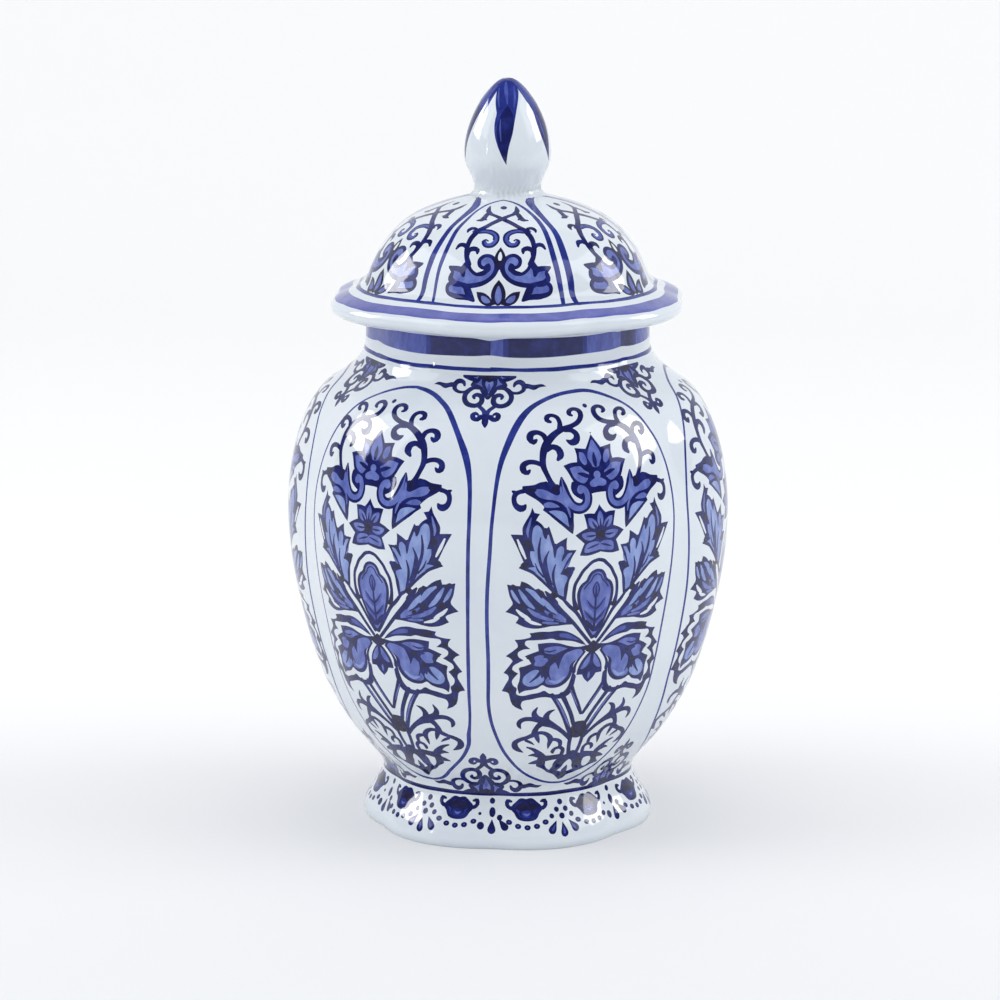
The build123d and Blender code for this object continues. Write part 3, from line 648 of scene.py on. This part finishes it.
def lid_side_lines():
    """Thick arch, which reaches over the valleys."""
    return arch(
        [(-.4, 81.6, 1.2), (-4.8, 80, 2), (-7.9, 77.5, 2.8), (-10.4, 75, 3.1), (-13.6, 70, 3),
         (-15.8, 66, 2.7), (-17.7, 62, 2.4), (-19.5, 58, 2.3), (-20.9, 54, 2.3), (-22.5, 50, 2.4),
         (-24.8, 45, 2.7), (-26.8, 40, 2.9), (-28.4, 35, 3), (-29.7, 30, 3), (-31, 25, 2.6),
         (-32.2, 20, 2.2)],
        [(-.4, 81.6, 1.2), (4.6, 78.8, 1.8), (8.4, 75.2, 2.5), (11, 72.4, 2.8), (13.8, 68, 2.7),
         (16.4, 62.4, 2.3), (18.1, 58, 2), (19.2, 55, 2), (20.7, 51, 2), (22.2, 46.4, 2.2), (23.8, 40, 2.4),
         (24.9, 36, 2.3), (25.9, 31, 2.2), (27.1, 25, 2), (28.2, 20, 1.8)], 2)


def lid_panel():
    m = Motif(1.15)
    half = Motif(1.15)
    m.dot(-.2, 71.6, 1.35, 1.6, kind="line")
    half.strokes(
        [(-11, 53.4, 1.9), (-7.4, 56.2, 1.8), (-4.2, 59.2, 1.9), (-.9, 62, 2.1), (2, 64.4, 1.7),
         (4.2, 66, 1.9), (5.2, 68.2, 2), (5, 70.6, 1.3), (4.6, 72.9, .4)],
        [(4.6, 67, 2), (6, 64.8, 1.8), (6.8, 62.8, 1.9), (8, 61, 1.8), (9.8, 60.6, .8)],
        [(6.9, 62.6, 1.8), (5.8, 61, .6)])
    half.stroke([(-11.6, 53.2, 1.9), (-8.4, 53.8, 1.9), (-5, 53.4, 2), (-2.8, 51.4, 1.9), (-2.6, 48.8, 1.9),
        (-4.4, 46.6, 1.9), (-6.6, 46.8, 1.6), (-7.2, 48.4, 1.2)], kind="mid")
    half.strokes(
        [(-11.2, 53.9, 1), (-8.2, 54.7, .7), (-4.4, 54.2, .7), (-2, 51.8, .8), (-1.8, 48.6, .7),
         (-4, 45.8, .8), (-7, 46, .9), (-7.9, 48.2, .9), (-6.6, 49.2, .7), (-5.6, 48.4, .5)],
        [(-9.8, 52.6, .7), (-6.4, 52.8, .6), (-3.8, 51.2, .6), (-3.6, 49, .6)],
        [(-11, 53, 1.8), (-11.2, 55, 1.6), (-12.8, 55.2, 1.5), (-14.4, 53.8, 1.2), (-14.7, 52.5, .5)],
        [(-10.6, 53.2, 2), (-12.6, 50.2, 1.9), (-13.8, 47, 1.8), (-14.3, 44, 1.8), (-14, 40.6, 1.9),
         (-13, 37.6, 2.1)],
        [(-14, 44.6, 1.8), (-15.4, 46.1, 1.8), (-17.4, 46, 1.6), (-19.2, 43.8, .6)],
        [(-14, 41.4, 1.8), (-13.4, 43.6, 1.8), (-11.4, 44.7, 2), (-9.8, 44, 1.9), (-9.8, 42.5, .8)])
    half.shape([(-21.2, 35.8, 1), (-18, 35.3), (-16.2, 34.6), (-15, 32.8, 1), (-14.6, 35.6), (-13, 38, 1),
        (-12.2, 35.6), (-9.8, 33.6), (-7, 33.7), (-5.2, 35.4), (-5, 37.6), (-6.6, 36.2), (-8.4, 37.2),
        (-8.6, 39.6), (-6.6, 41.5), (-4.2, 41.3), (-2.5, 39.4), (-1.9, 36.6), (-2.8, 33.4), (-5.8, 30.6),
        (-10.6, 29.2), (-15.4, 29), (-18.6, 30), (-20.4, 31.8), (-19.8, 33.6)], edge=1.2)
    half.strokes(
        [(-20.8, 35.7, 1.4), (-18, 35.5, 2), (-15.6, 35.4, 2.2), (-13.6, 37.6, 2.4)],
        [(-5, 37.8, .8), (-5, 36, 2), (-6.6, 34.4, 1.5), (-9, 33.6, 1.3)],
        [(-1.2, 36.6, 1.6), (-2.9, 32.8, 1.3), (-6.4, 30, 1.3), (-11, 28.7, 1.3), (-15, 28.6, 1.3)])
    half.shape([(-19.8, 29.8), (-22, 28), (-21.8, 25.8), (-19, 24.4), (-14.4, 24.2), (-10.4, 23, 1),
        (-11.4, 25.6), (-13, 28.6), (-16, 29.4)], edge=1.25)
    half.strokes(
        [(-20.8, 25.4, 1.2), (-17.8, 24.4, 2), (-14, 24.2, 2), (-10.8, 23.4, 1.2)],
        [(-14.4, 28.6, 1.2), (-12.8, 26.4, 2.4), (-11, 23.9, 1.4)],
        [(-20.4, 33, 1.3), (-21, 30.8, 1.5), (-19, 29.2, 1.6), (-16.4, 28.8, 1.2)])
    m.shape(both([(-.6, 45.6, 1), (-2.2, 42.8), (-2.9, 40), (-2.2, 37.6), (-.6, 35.4, 1)], -.6), kind="dark")
    m.shape([(-.6, 43.4), (-1.4, 41.4), (-1, 39.4), (-.2, 39.4), (.2, 41.4)], kind="cut")
    half.shape([(-9.2, 26.6, 1), (-6.2, 26.2), (-4, 24.6), (-1.6, 21.2, 1), (-4.4, 20.4), (-7.2, 21.8),
        (-8.6, 24)], kind="dark")
    half.shape([(-7.2, 25), (-5, 24.4), (-3.6, 22.4), (-5.4, 21.8), (-7, 23.2)], kind="wash2")
    m.shape(both([(-.6, 31.4, 1), (-2.7, 28.4), (-3.5, 25), (-2.4, 22), (-.6, 20.6)], -.6), kind="dark")
    m.shape(both([(-.6, 29), (-1.7, 26.4), (-1.8, 23.6), (-.6, 21.6)], -.6), kind="wash2")
    m.add(half, same)
    m.add(half, mirror(-.6))
    return m


def bud_petal():
    """One of five petals that run down from the finial's tip."""
    m = Motif()
    m.shape([(0, 55.5, 1), (-5, 54.6), (-4.2, 50, 1), (-4.4, 46), (-4.8, 41), (-4.6, 37.6), (-4.2, 35.6),
        (-5, 31.6), (-5, 27), (-4, 23), (-2.6, 19.4), (-1.2, 16.4), (-.1, 14.6, 1), (.1, 18), (1, 22.4),
        (2.3, 27), (3.1, 32), (3.9, 37), (4.6, 42), (4.7, 46), (4.2, 50, 1),
        (5, 54.6)], kind="frame", step=1.5)
    m.shape([(.3, 39, 1), (-1.8, 36), (-3, 33), (-4.2, 29), (-3.8, 24.6), (-2.4, 19.8), (-.2, 14.7, 1),
        (.5, 20), (1.8, 26), (2.8, 31), (2.2, 35.4)], kind="line", step=1.5)
    m.strokes(
        [(-2.6, 33, .3), (-2.7, 29, .8), (-2.3, 24, .3)],
        [(-.6, 50, .8), (-.5, 46, 1.5), (-.1, 42, 1), (.1, 39.5, .3)],
        [(2.6, 48, .4), (3.1, 43, .8), (2.8, 38, .3)],
        [(-3.4, 47, .3), (-3.6, 42, .8), (-3.2, 38, .3)], kind="mid2")
    return m


def bud_spike():
    """A short blade between two petals."""
    m = Motif()
    m.stroke([(-.4, 53, 4), (-.6, 49, 3), (-.9, 45, 2.4), (-1.4, 41, 1.9), (-1.8, 38, 1.3),
        (-2.6, 34.5, .3)], kind="frame")
    return m


# ---------------------------------------------------------------------------
# Materials
# ---------------------------------------------------------------------------
def material(name, colours, scale, stretch=(1, 1, 1), rough=.07, ripple=.2):
    """Surface whose colour wanders between colours, with a fine ripple in the glaze."""
    mat = bpy.data.materials.new(name)
    mat.use_nodes = True
    nt = mat.node_tree
    bsdf = nt.nodes["Principled BSDF"]
    coord = nt.nodes.new("ShaderNodeTexCoord")
    mapping = nt.nodes.new("ShaderNodeMapping")
    mapping.inputs["Scale"].default_value = stretch
    noise = nt.nodes.new("ShaderNodeTexNoise")
    noise.inputs["Scale"].default_value = scale
    noise.inputs["Detail"].default_value = 6.0
    noise.inputs["Roughness"].default_value = .6
    ramp = nt.nodes.new("ShaderNodeValToRGB")
    stops = ramp.color_ramp.elements
    stops[0].position, stops[1].position = .3, .72
    stops[0].color, stops[1].color = (*colours[0], 1), (*colours[2], 1)
    stops.new(.51).color = (*colours[1], 1)
    nt.links.new(coord.outputs["Object"], mapping.inputs["Vector"])
    nt.links.new(mapping.outputs["Vector"], noise.inputs["Vector"])
    nt.links.new(noise.outputs["Fac"], ramp.inputs["Fac"])
    nt.links.new(ramp.outputs["Color"], bsdf.inputs["Base Color"])
    bsdf.inputs["Roughness"].default_value = rough
    bsdf.inputs["IOR"].default_value = 1.5
    if ripple:
        waves = nt.nodes.new("ShaderNodeTexNoise")
        waves.inputs["Scale"].default_value = 40
        waves.inputs["Detail"].default_value = 2.0
        push = nt.nodes.new("ShaderNodeBump")
        push.inputs["Strength"].default_value = ripple
        push.inputs["Distance"].default_value = .0006
        nt.links.new(coord.outputs["Object"], waves.inputs["Vector"])
        nt.links.new(waves.outputs["Fac"], push.inputs["Height"])
        nt.links.new(push.outputs["Normal"], bsdf.inputs["Normal"])
    return mat


GLAZE = material("glaze", [(.635, .69, .755), (.67, .72, .775), (.70, .74, .785)], 22, rough=.06)
WASH = material("cobalt_wash", [(.065, .09, .33), (.115, .153, .44), (.18, .235, .545)], 260, (1, 1, .5))
PALE = material("cobalt_pale", [(.12, .175, .45), (.20, .275, .57), (.31, .39, .67)], 200, (1, 1, .5))
MID = material("cobalt_mid", [(.035, .052, .27), (.06, .085, .36), (.09, .125, .45)], 300, (1, 1, .5))
FRAME = material("cobalt_frame", [(.007, .013, .14), (.016, .029, .22), (.034, .055, .31)], 160)
LINE = material("cobalt_line", [(.002, .004, .06), (.005, .009, .10), (.016, .026, .19)], 190)
DARK = material("cobalt_knot", [(.006, .005, .020), (.010, .009, .045), (.014, .016, .10)], 240)
BISCUIT = material("unglazed_foot", [(.62, .58, .52), (.70, .66, .60), (.76, .73, .68)], 900, rough=.75,
                   ripple=0)
BAND = material("cobalt_band", [(.065, .075, .32), (.095, .11, .39), (.13, .15, .46)], 120, (1, 1, 2))
SLOTS = [GLAZE, WASH, MID, LINE, DARK, BISCUIT, FRAME, PALE, BAND]
PAINT = {"base": LINE, "band": BAND, "wash": WASH, "pale": PALE, "white": GLAZE, "mid": MID, "frame": FRAME,
         "line": LINE, "dark": DARK, "cut": GLAZE, "wash2": WASH, "line2": LINE, "mid2": MID}


# ---------------------------------------------------------------------------
# Meshes
# ---------------------------------------------------------------------------
def inside(poly, pts):
    """Which points lie inside a closed outline."""
    x, y = pts.T
    hit = np.zeros(len(pts), bool)
    a, b = poly, np.roll(poly, -1, axis=0)
    for (x0, y0), (x1, y1) in zip(a, b):
        if y0 == y1:
            continue
        crosses = (y0 > y) != (y1 > y)
        hit ^= crosses & (x < (x1 - x0) * (y - y0) / (y1 - y0) + x0)
    return hit


class Skin:
    """Collects faces with their own normals and material slots, then makes one piece."""

    def __init__(self, name):
        self.name = name
        self.co, self.no, self.faces, self.slots = [], [], [], []

    def painted(self, wall, count, first, marks, grid=4.0):
        """The whole wall in count sectors, cut along the edges of the brush marks. The first sector's middle
        is at first, and marks(k) gives sector k's marks with x measured from its middle."""
        top = wall.length[-1]
        half = math.pi / count
        side = np.linspace(0, top, max(2, int(np.ceil(top / 2.0))) + 1)
        across = np.linspace(-half, half, 25)
        for k in range(count):
            mid = first + 2 * half * k
            pts, edges = [], []

            def loop(q):
                n0 = len(pts)
                pts.extend(q)
                edges.extend((n0 + i, n0 + (i + 1) % len(q)) for i in range(len(q)))

            border = ([(a, 0.0) for a in across] + [(half, s) for s in side[1:]]
                      + [(a, top) for a in across[::-1][1:]] + [(-half, s) for s in side[::-1][1:-1]])
            loop([(a * SPREAD, v) for a, v in border])
            cuts = []
            for kind, poly in sorted(marks(k), key=lambda q: ORDER[q[0]]):
                r = np.maximum(wall.radius(poly[:, 1]), 1.0)
                flat = np.stack([poly[:, 0] / r * SPREAD, poly[:, 1]], 1)
                if flat[:, 0].min() > half * SPREAD or flat[:, 0].max() < -half * SPREAD:
                    continue
                if flat[:, 1].min() > top or flat[:, 1].max() < 0:
                    continue
                loop([tuple(p) for p in flat])
                cuts.append((kind, flat))
            for j, v in enumerate(np.arange(grid / 2, top - .3, grid)):
                r = max(float(wall.radius(v)), 2.0)
                n = max(2, int(2 * half * r / grid))
                shift = .5 if j % 2 else .25
                pts.extend((((i + shift) / n * 2 - 1) * half * SPREAD, v) for i in range(n))
            out = delaunay_2d_cdt([Vector(p) for p in pts], edges, [], 0, 1e-5)
            v2 = np.array([(p.x, p.y) for p in out[0]])
            tri = np.array(out[2])
            mids = v2[tri].mean(axis=1)
            keep = np.abs(mids[:, 0]) < half * SPREAD - 1e-4
            keep &= (mids[:, 1] > 1e-4) & (mids[:, 1] < top - 1e-4)
            tri, mids = tri[keep], mids[keep]
            slot = np.zeros(len(tri), int)
            for kind, flat in cuts:
                lo, hi = flat.min(axis=0), flat.max(axis=0)
                near = np.nonzero((mids[:, 0] >= lo[0]) & (mids[:, 0] <= hi[0])
                                  & (mids[:, 1] >= lo[1]) & (mids[:, 1] <= hi[1]))[0]
                if len(near):
                    slot[near[inside(flat, mids[near])]] = SLOTS.index(PAINT[kind])
            angle = mid + v2[:, 0] / SPREAD
            base = sum(len(c) for c in self.co)
            v = np.clip(v2[:, 1], 0, top)
            self.co.append(wall.point(angle, v))
            self.no.append(wall.normal(angle, v))
            p = self.co[-1][tri]
            cross = np.cross(p[:, 1] - p[:, 0], p[:, 2] - p[:, 0])
            facing = np.einsum("ij,ij->i", cross, self.no[-1][tri[:, 0]])
            tri = np.where(facing[:, None] < 0, tri[:, ::-1], tri)
            self.faces.extend((tri + base).tolist())
            self.slots.extend(slot.tolist())

    def turned(self, stations, turn=0.0, paint=GLAZE, step=1.5, around=144):
        """A plain lobed or round strip through the stations, closed round the axis."""
        fine = catmull([(r, z, d) for z, r, d in stations], step)
        angle = np.arange(around) * 2 * math.pi / around
        r = lobed(fine[:, :1], fine[:, 2:3], angle, turn)
        p = np.stack([r * np.sin(angle), -r * np.cos(angle), np.repeat(fine[:, 1:2], around, 1)], -1)
        n = np.cross(np.roll(p, -1, axis=1) - np.roll(p, 1, axis=1), np.gradient(p, axis=0))
        n /= np.maximum(np.linalg.norm(n, axis=-1, keepdims=True), 1e-9)
        base = sum(len(c) for c in self.co)
        slot = SLOTS.index(paint)
        self.co.append(p.reshape(-1, 3))
        self.no.append(n.reshape(-1, 3))
        for i in range(len(fine) - 1):
            for j in range(around):
                a, b = base + i * around + j, base + i * around + (j + 1) % around
                self.faces.append((a, b, b + around, a + around))
                self.slots.append(slot)

    def piece(self, body, node):
        co, no = np.vstack(self.co), np.vstack(self.no)
        mesh = bpy.data.meshes.new(self.name)
        mesh.from_pydata((co * .001).tolist(), [], self.faces)
        for m in SLOTS:
            mesh.materials.append(m)
        mesh.polygons.foreach_set("material_index", np.array(self.slots, np.int32))
        mesh.polygons.foreach_set("use_smooth", np.ones(len(self.faces), bool))
        mesh.update()
        mesh.normals_split_custom_set_from_vertices(no.tolist())
        obj = bpy.data.objects.new(self.name, mesh)
        bpy.context.scene.collection.objects.link(obj)
        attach(obj, body)
        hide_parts(node)


def wander(k, amount=.35):
    """A hand's unsteadiness: shifts marks by about that many mm, differently in each sector."""
    def place(p):
        q = p.copy()
        q[:, 0] += amount * (np.sin(p[:, 1] * .11 + 2.1 * k)
                             + .6 * np.sin(p[:, 0] * .17 + p[:, 1] * .07 + k * 1.3))
        q[:, 1] += amount * (np.sin(p[:, 0] * .12 + 1.7 * k) + .5 * np.sin(p[:, 1] * .15 + k))
        return q
    return place


def band(lo, hi, half, wobble, kind, seed=0.0):
    """A painted band between two heights, its edges a little uneven."""
    x = np.linspace(-half, half, 60)
    low = lo + wobble * np.sin(x * .21 + seed) + wobble * .5 * np.sin(x * .47 + seed * 2)
    high = hi + wobble * np.sin(x * .17 + 1 + seed) + wobble * .4 * np.sin(x * .39 + seed)
    return (kind, np.vstack([np.column_stack([x, low]), np.column_stack([x, high])[::-1]]))


belly_wall = Wall(BELLY)
panel, thick_left, thick_right, valley = main_panel(), frame_thick_left(), frame_thick_right(), valley_motif()


def at_valley(wall, sign, lift=None, shift=0.0):
    """Puts a valley motif at the left (-1) or right (+1) edge of a sector."""
    def place(p):
        q = p.copy()
        if lift is not None:
            q[:, 1] = lift - p[:, 1]
        q[:, 0] = p[:, 0] + shift + sign * SECTOR / 2 * wall.radius(q[:, 1])
        return q
    return place


def belly_marks(k):
    m = Motif()
    if k % 2 == 0:
        m.add(panel, wander(k))
        m.add(thick_left, wander(k, .15))
    else:
        m.add(Motif().add(panel, mirror(0)), wander(k))
        m.add(thick_right, wander(k, .1))
    for sign in (-1, 1):
        m.add(valley, at_valley(belly_wall, sign))
        m.add(valley, at_valley(belly_wall, sign, 191.9, -2.4))
    m.marks.append(band(-1, .75, 60, .1, "line"))
    return m.marks


belly = Skin("belly_painted")
belly.painted(belly_wall, LOBES, SECTOR / 2, belly_marks)
belly.turned([(194, 58.9, .024), (194, 50.0, 0)])
belly.turned(BELLY_INSIDE, step=4)
belly.turned([(27.5, 43.0, .010), (27.5, .1, 0)], step=9)
belly.turned([(21.5, .1, 0), (21.5, 51.1, .030)], step=9)
belly.piece("jar", "belly")

foot_wall = Wall(FOOT)
group, blob, column = foot_group(), foot_blob(), foot_valley()


def foot_marks(k):
    m = Motif()
    m.add(group, wander(k, .18))
    for sign in (-1, 1):
        def place(p, sign=sign):
            q = wander(k + sign, .15)(p)
            q[:, 0] += sign * SECTOR / 2 * .49 * foot_wall.radius(q[:, 1])
            q[:, 1] += .3 * sign * (1 if k % 2 else -1)
            return q
        m.add(blob, place)
        m.add(column, at_valley(foot_wall, sign))
    top = foot_wall.length[-1]
    m.marks.append(band(top - .9, top + 1, 60, .06, "line"))
    return m.marks


foot = Skin("foot_painted")
foot.painted(foot_wall, LOBES, SECTOR / 2, foot_marks, grid=2.5)
foot.turned([(0, 58.0, .050), (0, 49.7, 0)], paint=BISCUIT)
foot.turned([(0, 49.7, 0), (1.6, 48.5, 0)], paint=BISCUIT, step=.8)
foot.turned([(1.6, 48.5, 0), (21.5, 43.0, 0)], step=4)
foot.piece("jar", "foot_ring")

neck_wall = Wall(NECK)


def neck_marks(k):
    """A line, and a band whose brush strokes overlap in darker stretches."""
    marks = [band(1.5, 3.1, 40, .12, "frame", k * 6.28 / LOBES)]
    x = np.linspace(-32, 32, 65)
    dip = .55 * np.exp(-((np.abs(x) - 30) / 4.5) ** 2)
    low = 7.2 + .2 * np.sin(x * .13 + k) + dip
    high = 14.7 - .15 * np.sin(x * .11 + k * 2) - dip * 1.6
    a, b = [(-23, 8), (-31.5, -21), (-5, 22), (-20, -3), (-31.5, 2), (5, 31.5)][k]
    for kind, start, end in (("mid", -32, 32), ("frame", a - 2.6, b + 2.2), ("line", a, b)):
        sel = (x >= start) & (x <= end)
        marks.append((kind, np.vstack([np.column_stack([x[sel], low[sel]]),
                                       np.column_stack([x[sel], high[sel]])[::-1]])))
    return marks


neck = Skin("neck_painted")
neck.painted(neck_wall, LOBES, SECTOR / 2, neck_marks, grid=2.5)
neck.turned([(211, 56.4, .024), (211, 51.2, 0)], step=2)
neck.turned([(211, 51.2, 0), (209.8, 50, 0)], step=.8)
neck.turned([(209.8, 50, 0), (194, 50, 0)], step=4)
neck.piece("jar", "neck")

lid_wall = Wall(LID, LID_TURN)
lid_motif, front_lines, side_lines = lid_panel(), lid_front_lines(), lid_side_lines()


def lid_place(k, sign=0):
    """Puts sector k's pattern in its place, or in the next (1) or last (-1) sector's."""
    hand = wander(k + 4, .2)

    def place(p):
        q = hand(p)
        q[:, 1] += np.maximum(q[:, 1] - 20, 0) * .032
        q[:, 0] += sign * SECTOR * lid_wall.radius(q[:, 1])
        return q
    return place


def lid_marks(k):
    m = Motif()
    if k % 2 == 0:
        m.add(lid_motif, lid_place(k))
    else:
        m.add(Motif().add(lid_motif, mirror(0)), lid_place(k))
    for sign in (-1, 0, 1):
        near = (k + sign) % LOBES
        m.add(side_lines if near % 2 else front_lines, lid_place(near, sign))
    m.marks.append(band(9, 15.4, 60, .2, "band", k * .4))
    m.marks.append(band(18.9, 20.7, 60, .12, "frame", k * .7))
    return m.marks


lid = Skin("lid_painted")
lid.painted(lid_wall, LOBES, LID_TURN + SECTOR / 2, lid_marks, grid=2.5)
lid.turned([(211, 70.2, .045), (211, 43.2, 0)], turn=LID_TURN, step=6)
lid.turned([(211, 43.2, 0), (215, 43.2, 0)], step=2)
lid.turned(LID_INSIDE, step=2.5)
lid.piece("lid", "lid_dome")

bud_wall = Wall([(257.3, 16.2, 0), (258.2, 14.5, 0), (259.4, 13.3, 0)] + BUD[1:])
FLARE = 2.6              # length of the glaze fillet at the finial's base
PETALS = 5
BUD_TURN = math.radians(5.6)
petal, spike = bud_petal(), bud_spike()


def bud_place(k, sign=0):
    """Puts a petal in sector k, or a blade on its left (-1) or right (1) edge. Petal 0 is not shifted."""
    hand = wander(k, .25 if k else 0)

    def place(p):
        q = hand(p)
        q[:, 1] += FLARE
        q[:, 0] += sign * math.pi / PETALS * bud_wall.radius(q[:, 1])
        return q
    return place


def bud_marks(k):
    m = Motif()
    m.add(petal, bud_place(k))
    m.marks.append(band(50.5 + FLARE, 60, 40, .0, "frame"))
    for sign, edge in ((-1, k), (1, (k + 1) % PETALS)):
        if edge in (0, 3):
            m.add(spike, bud_place(0, sign))
    return m.marks


bud = Skin("finial_painted")
bud.painted(bud_wall, PETALS, BUD_TURN, bud_marks, grid=2.0)
bud.piece("lid", "finial")

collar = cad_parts["lid_collar"]
collar.data.materials.clear()
collar.data.materials.append(GLAZE)

# ---------------------------------------------------------------------------
# Studio: pale sweep, two soft boxes and a strip that only show in the glaze,
# two weak fills, and a white world that is dim in reflections. Metres.
# ---------------------------------------------------------------------------
def sweep():
    """Paper floor that curves up into a backdrop behind the jar, with painted shade: its colour is darker in
    front.
    """
    back, bend, high, wide = 1.2, 1.2, 5.0, 5.0
    prof = [(-4.0, 0), (back, 0)]
    for i in range(1, 25):
        a = i / 24 * math.pi / 2
        prof.append((back + bend * math.sin(a), bend - bend * math.cos(a)))
    prof.append((back + bend, high))
    verts = [(x, y, z) for x in (-wide, wide) for y, z in prof]
    n = len(prof)
    mesh = bpy.data.meshes.new("studio_sweep")
    mesh.from_pydata(verts, [], [(i, i + n, i + n + 1, i + 1) for i in range(n - 1)])
    mesh.polygons.foreach_set("use_smooth", np.ones(n - 1, bool))
    mesh.update()
    obj = bpy.data.objects.new("studio_sweep", mesh)
    bpy.context.scene.collection.objects.link(obj)
    mat = bpy.data.materials.new("studio_paper")
    mat.use_nodes = True
    nt = mat.node_tree
    b = nt.nodes["Principled BSDF"]
    b.inputs["Roughness"].default_value = .9
    b.inputs["Specular IOR Level"].default_value = .1
    coord = nt.nodes.new("ShaderNodeTexCoord")
    split = nt.nodes.new("ShaderNodeSeparateXYZ")
    ramp = nt.nodes.new("ShaderNodeMapRange")
    ramp.interpolation_type = "SMOOTHSTEP"
    ramp.inputs["From Min"].default_value = -.30
    ramp.inputs["From Max"].default_value = .24
    # painted shade: the paper's colour ramps from darker in front of the jar to lighter behind it, standing
    # in for less light on the front of the floor
    painted_floor_shade = nt.nodes.new("ShaderNodeMix")
    painted_floor_shade.data_type = "RGBA"
    painted_floor_shade.inputs[6].default_value = (.79, .795, .81, 1)
    painted_floor_shade.inputs[7].default_value = (.91, .91, .915, 1)
    nt.links.new(coord.outputs["Object"], split.inputs["Vector"])
    nt.links.new(split.outputs["Y"], ramp.inputs["Value"])
    nt.links.new(ramp.outputs["Result"], painted_floor_shade.inputs["Factor"])
    nt.links.new(painted_floor_shade.outputs[2], b.inputs["Base Color"])
    mesh.materials.append(mat)


sweep()
AIM = Vector((0, 0, .15))       # the middle of the jar


def area(name, azimuth, elevation, distance, width, height, power, only_gloss=False):
    """A soft box seen from the jar at that azimuth (0 is the front, growing towards +X) and elevation."""
    az, el = math.radians(azimuth), math.radians(elevation)
    out = Vector((math.sin(az) * math.cos(el), -math.cos(az) * math.cos(el), math.sin(el)))
    at = out * distance + AIM
    data = bpy.data.lights.new(name, "AREA")
    data.shape = "RECTANGLE"
    data.size, data.size_y = width, height
    data.energy = power
    obj = bpy.data.objects.new(name, data)
    obj.location = at
    obj.rotation_euler = (AIM - at).to_track_quat("-Z", "Y").to_euler()
    obj.visible_diffuse = not only_gloss
    bpy.context.scene.collection.objects.link(obj)


VIEW = 7.0           # the camera stands this far round from the front, degrees
area("soft_box_left", -101 + VIEW, 27, 1.5, .75, .65, 16, only_gloss=True)
area("soft_box_right", 95 + VIEW, 26, 1.5, .6, .75, 10, only_gloss=True)
area("strip_left", -57 + VIEW, 9, 1.5, .05, .24, .5, only_gloss=True)
area("fill_left", -80 + VIEW, 35, 2.0, 1.2, 1.2, 9)
area("fill_right", 80 + VIEW, 35, 2.0, 1.2, 1.2, 9)

world = bpy.data.worlds.new("studio_world")
bpy.context.scene.world = world
world.use_nodes = True
sky = world.node_tree.nodes["Background"]
sky.inputs["Color"].default_value = (.97, .985, 1, 1)
rays = world.node_tree.nodes.new("ShaderNodeLightPath")
dim = world.node_tree.nodes.new("ShaderNodeMapRange")
dim.inputs["To Min"].default_value = .97
dim.inputs["To Max"].default_value = .20
world.node_tree.links.new(rays.outputs["Is Glossy Ray"], dim.inputs["Value"])
world.node_tree.links.new(dim.outputs["Result"], sky.inputs["Strength"])

FAR = 1.8                # from the camera to the jar's axis, along the floor
ASIDE = -.0031           # how far the camera is moved along its own X
EYE = .5071              # height of the camera
DOWN = 11.77             # how far it looks down, degrees
cam_data = bpy.data.cameras.new("camera")
cam_data.lens = 162
cam_data.sensor_width = 36
cam_data.clip_end = 50
cam = bpy.data.objects.new("camera", cam_data)
bpy.context.scene.collection.objects.link(cam)
turn = math.radians(VIEW)
cam.location = (FAR * math.sin(turn) + ASIDE * math.cos(turn),
                -FAR * math.cos(turn) + ASIDE * math.sin(turn), EYE)
cam.rotation_euler = (math.radians(90 - DOWN), 0, turn)
bpy.context.scene.camera = cam

bpy.context.scene.view_settings.view_transform = "Standard"
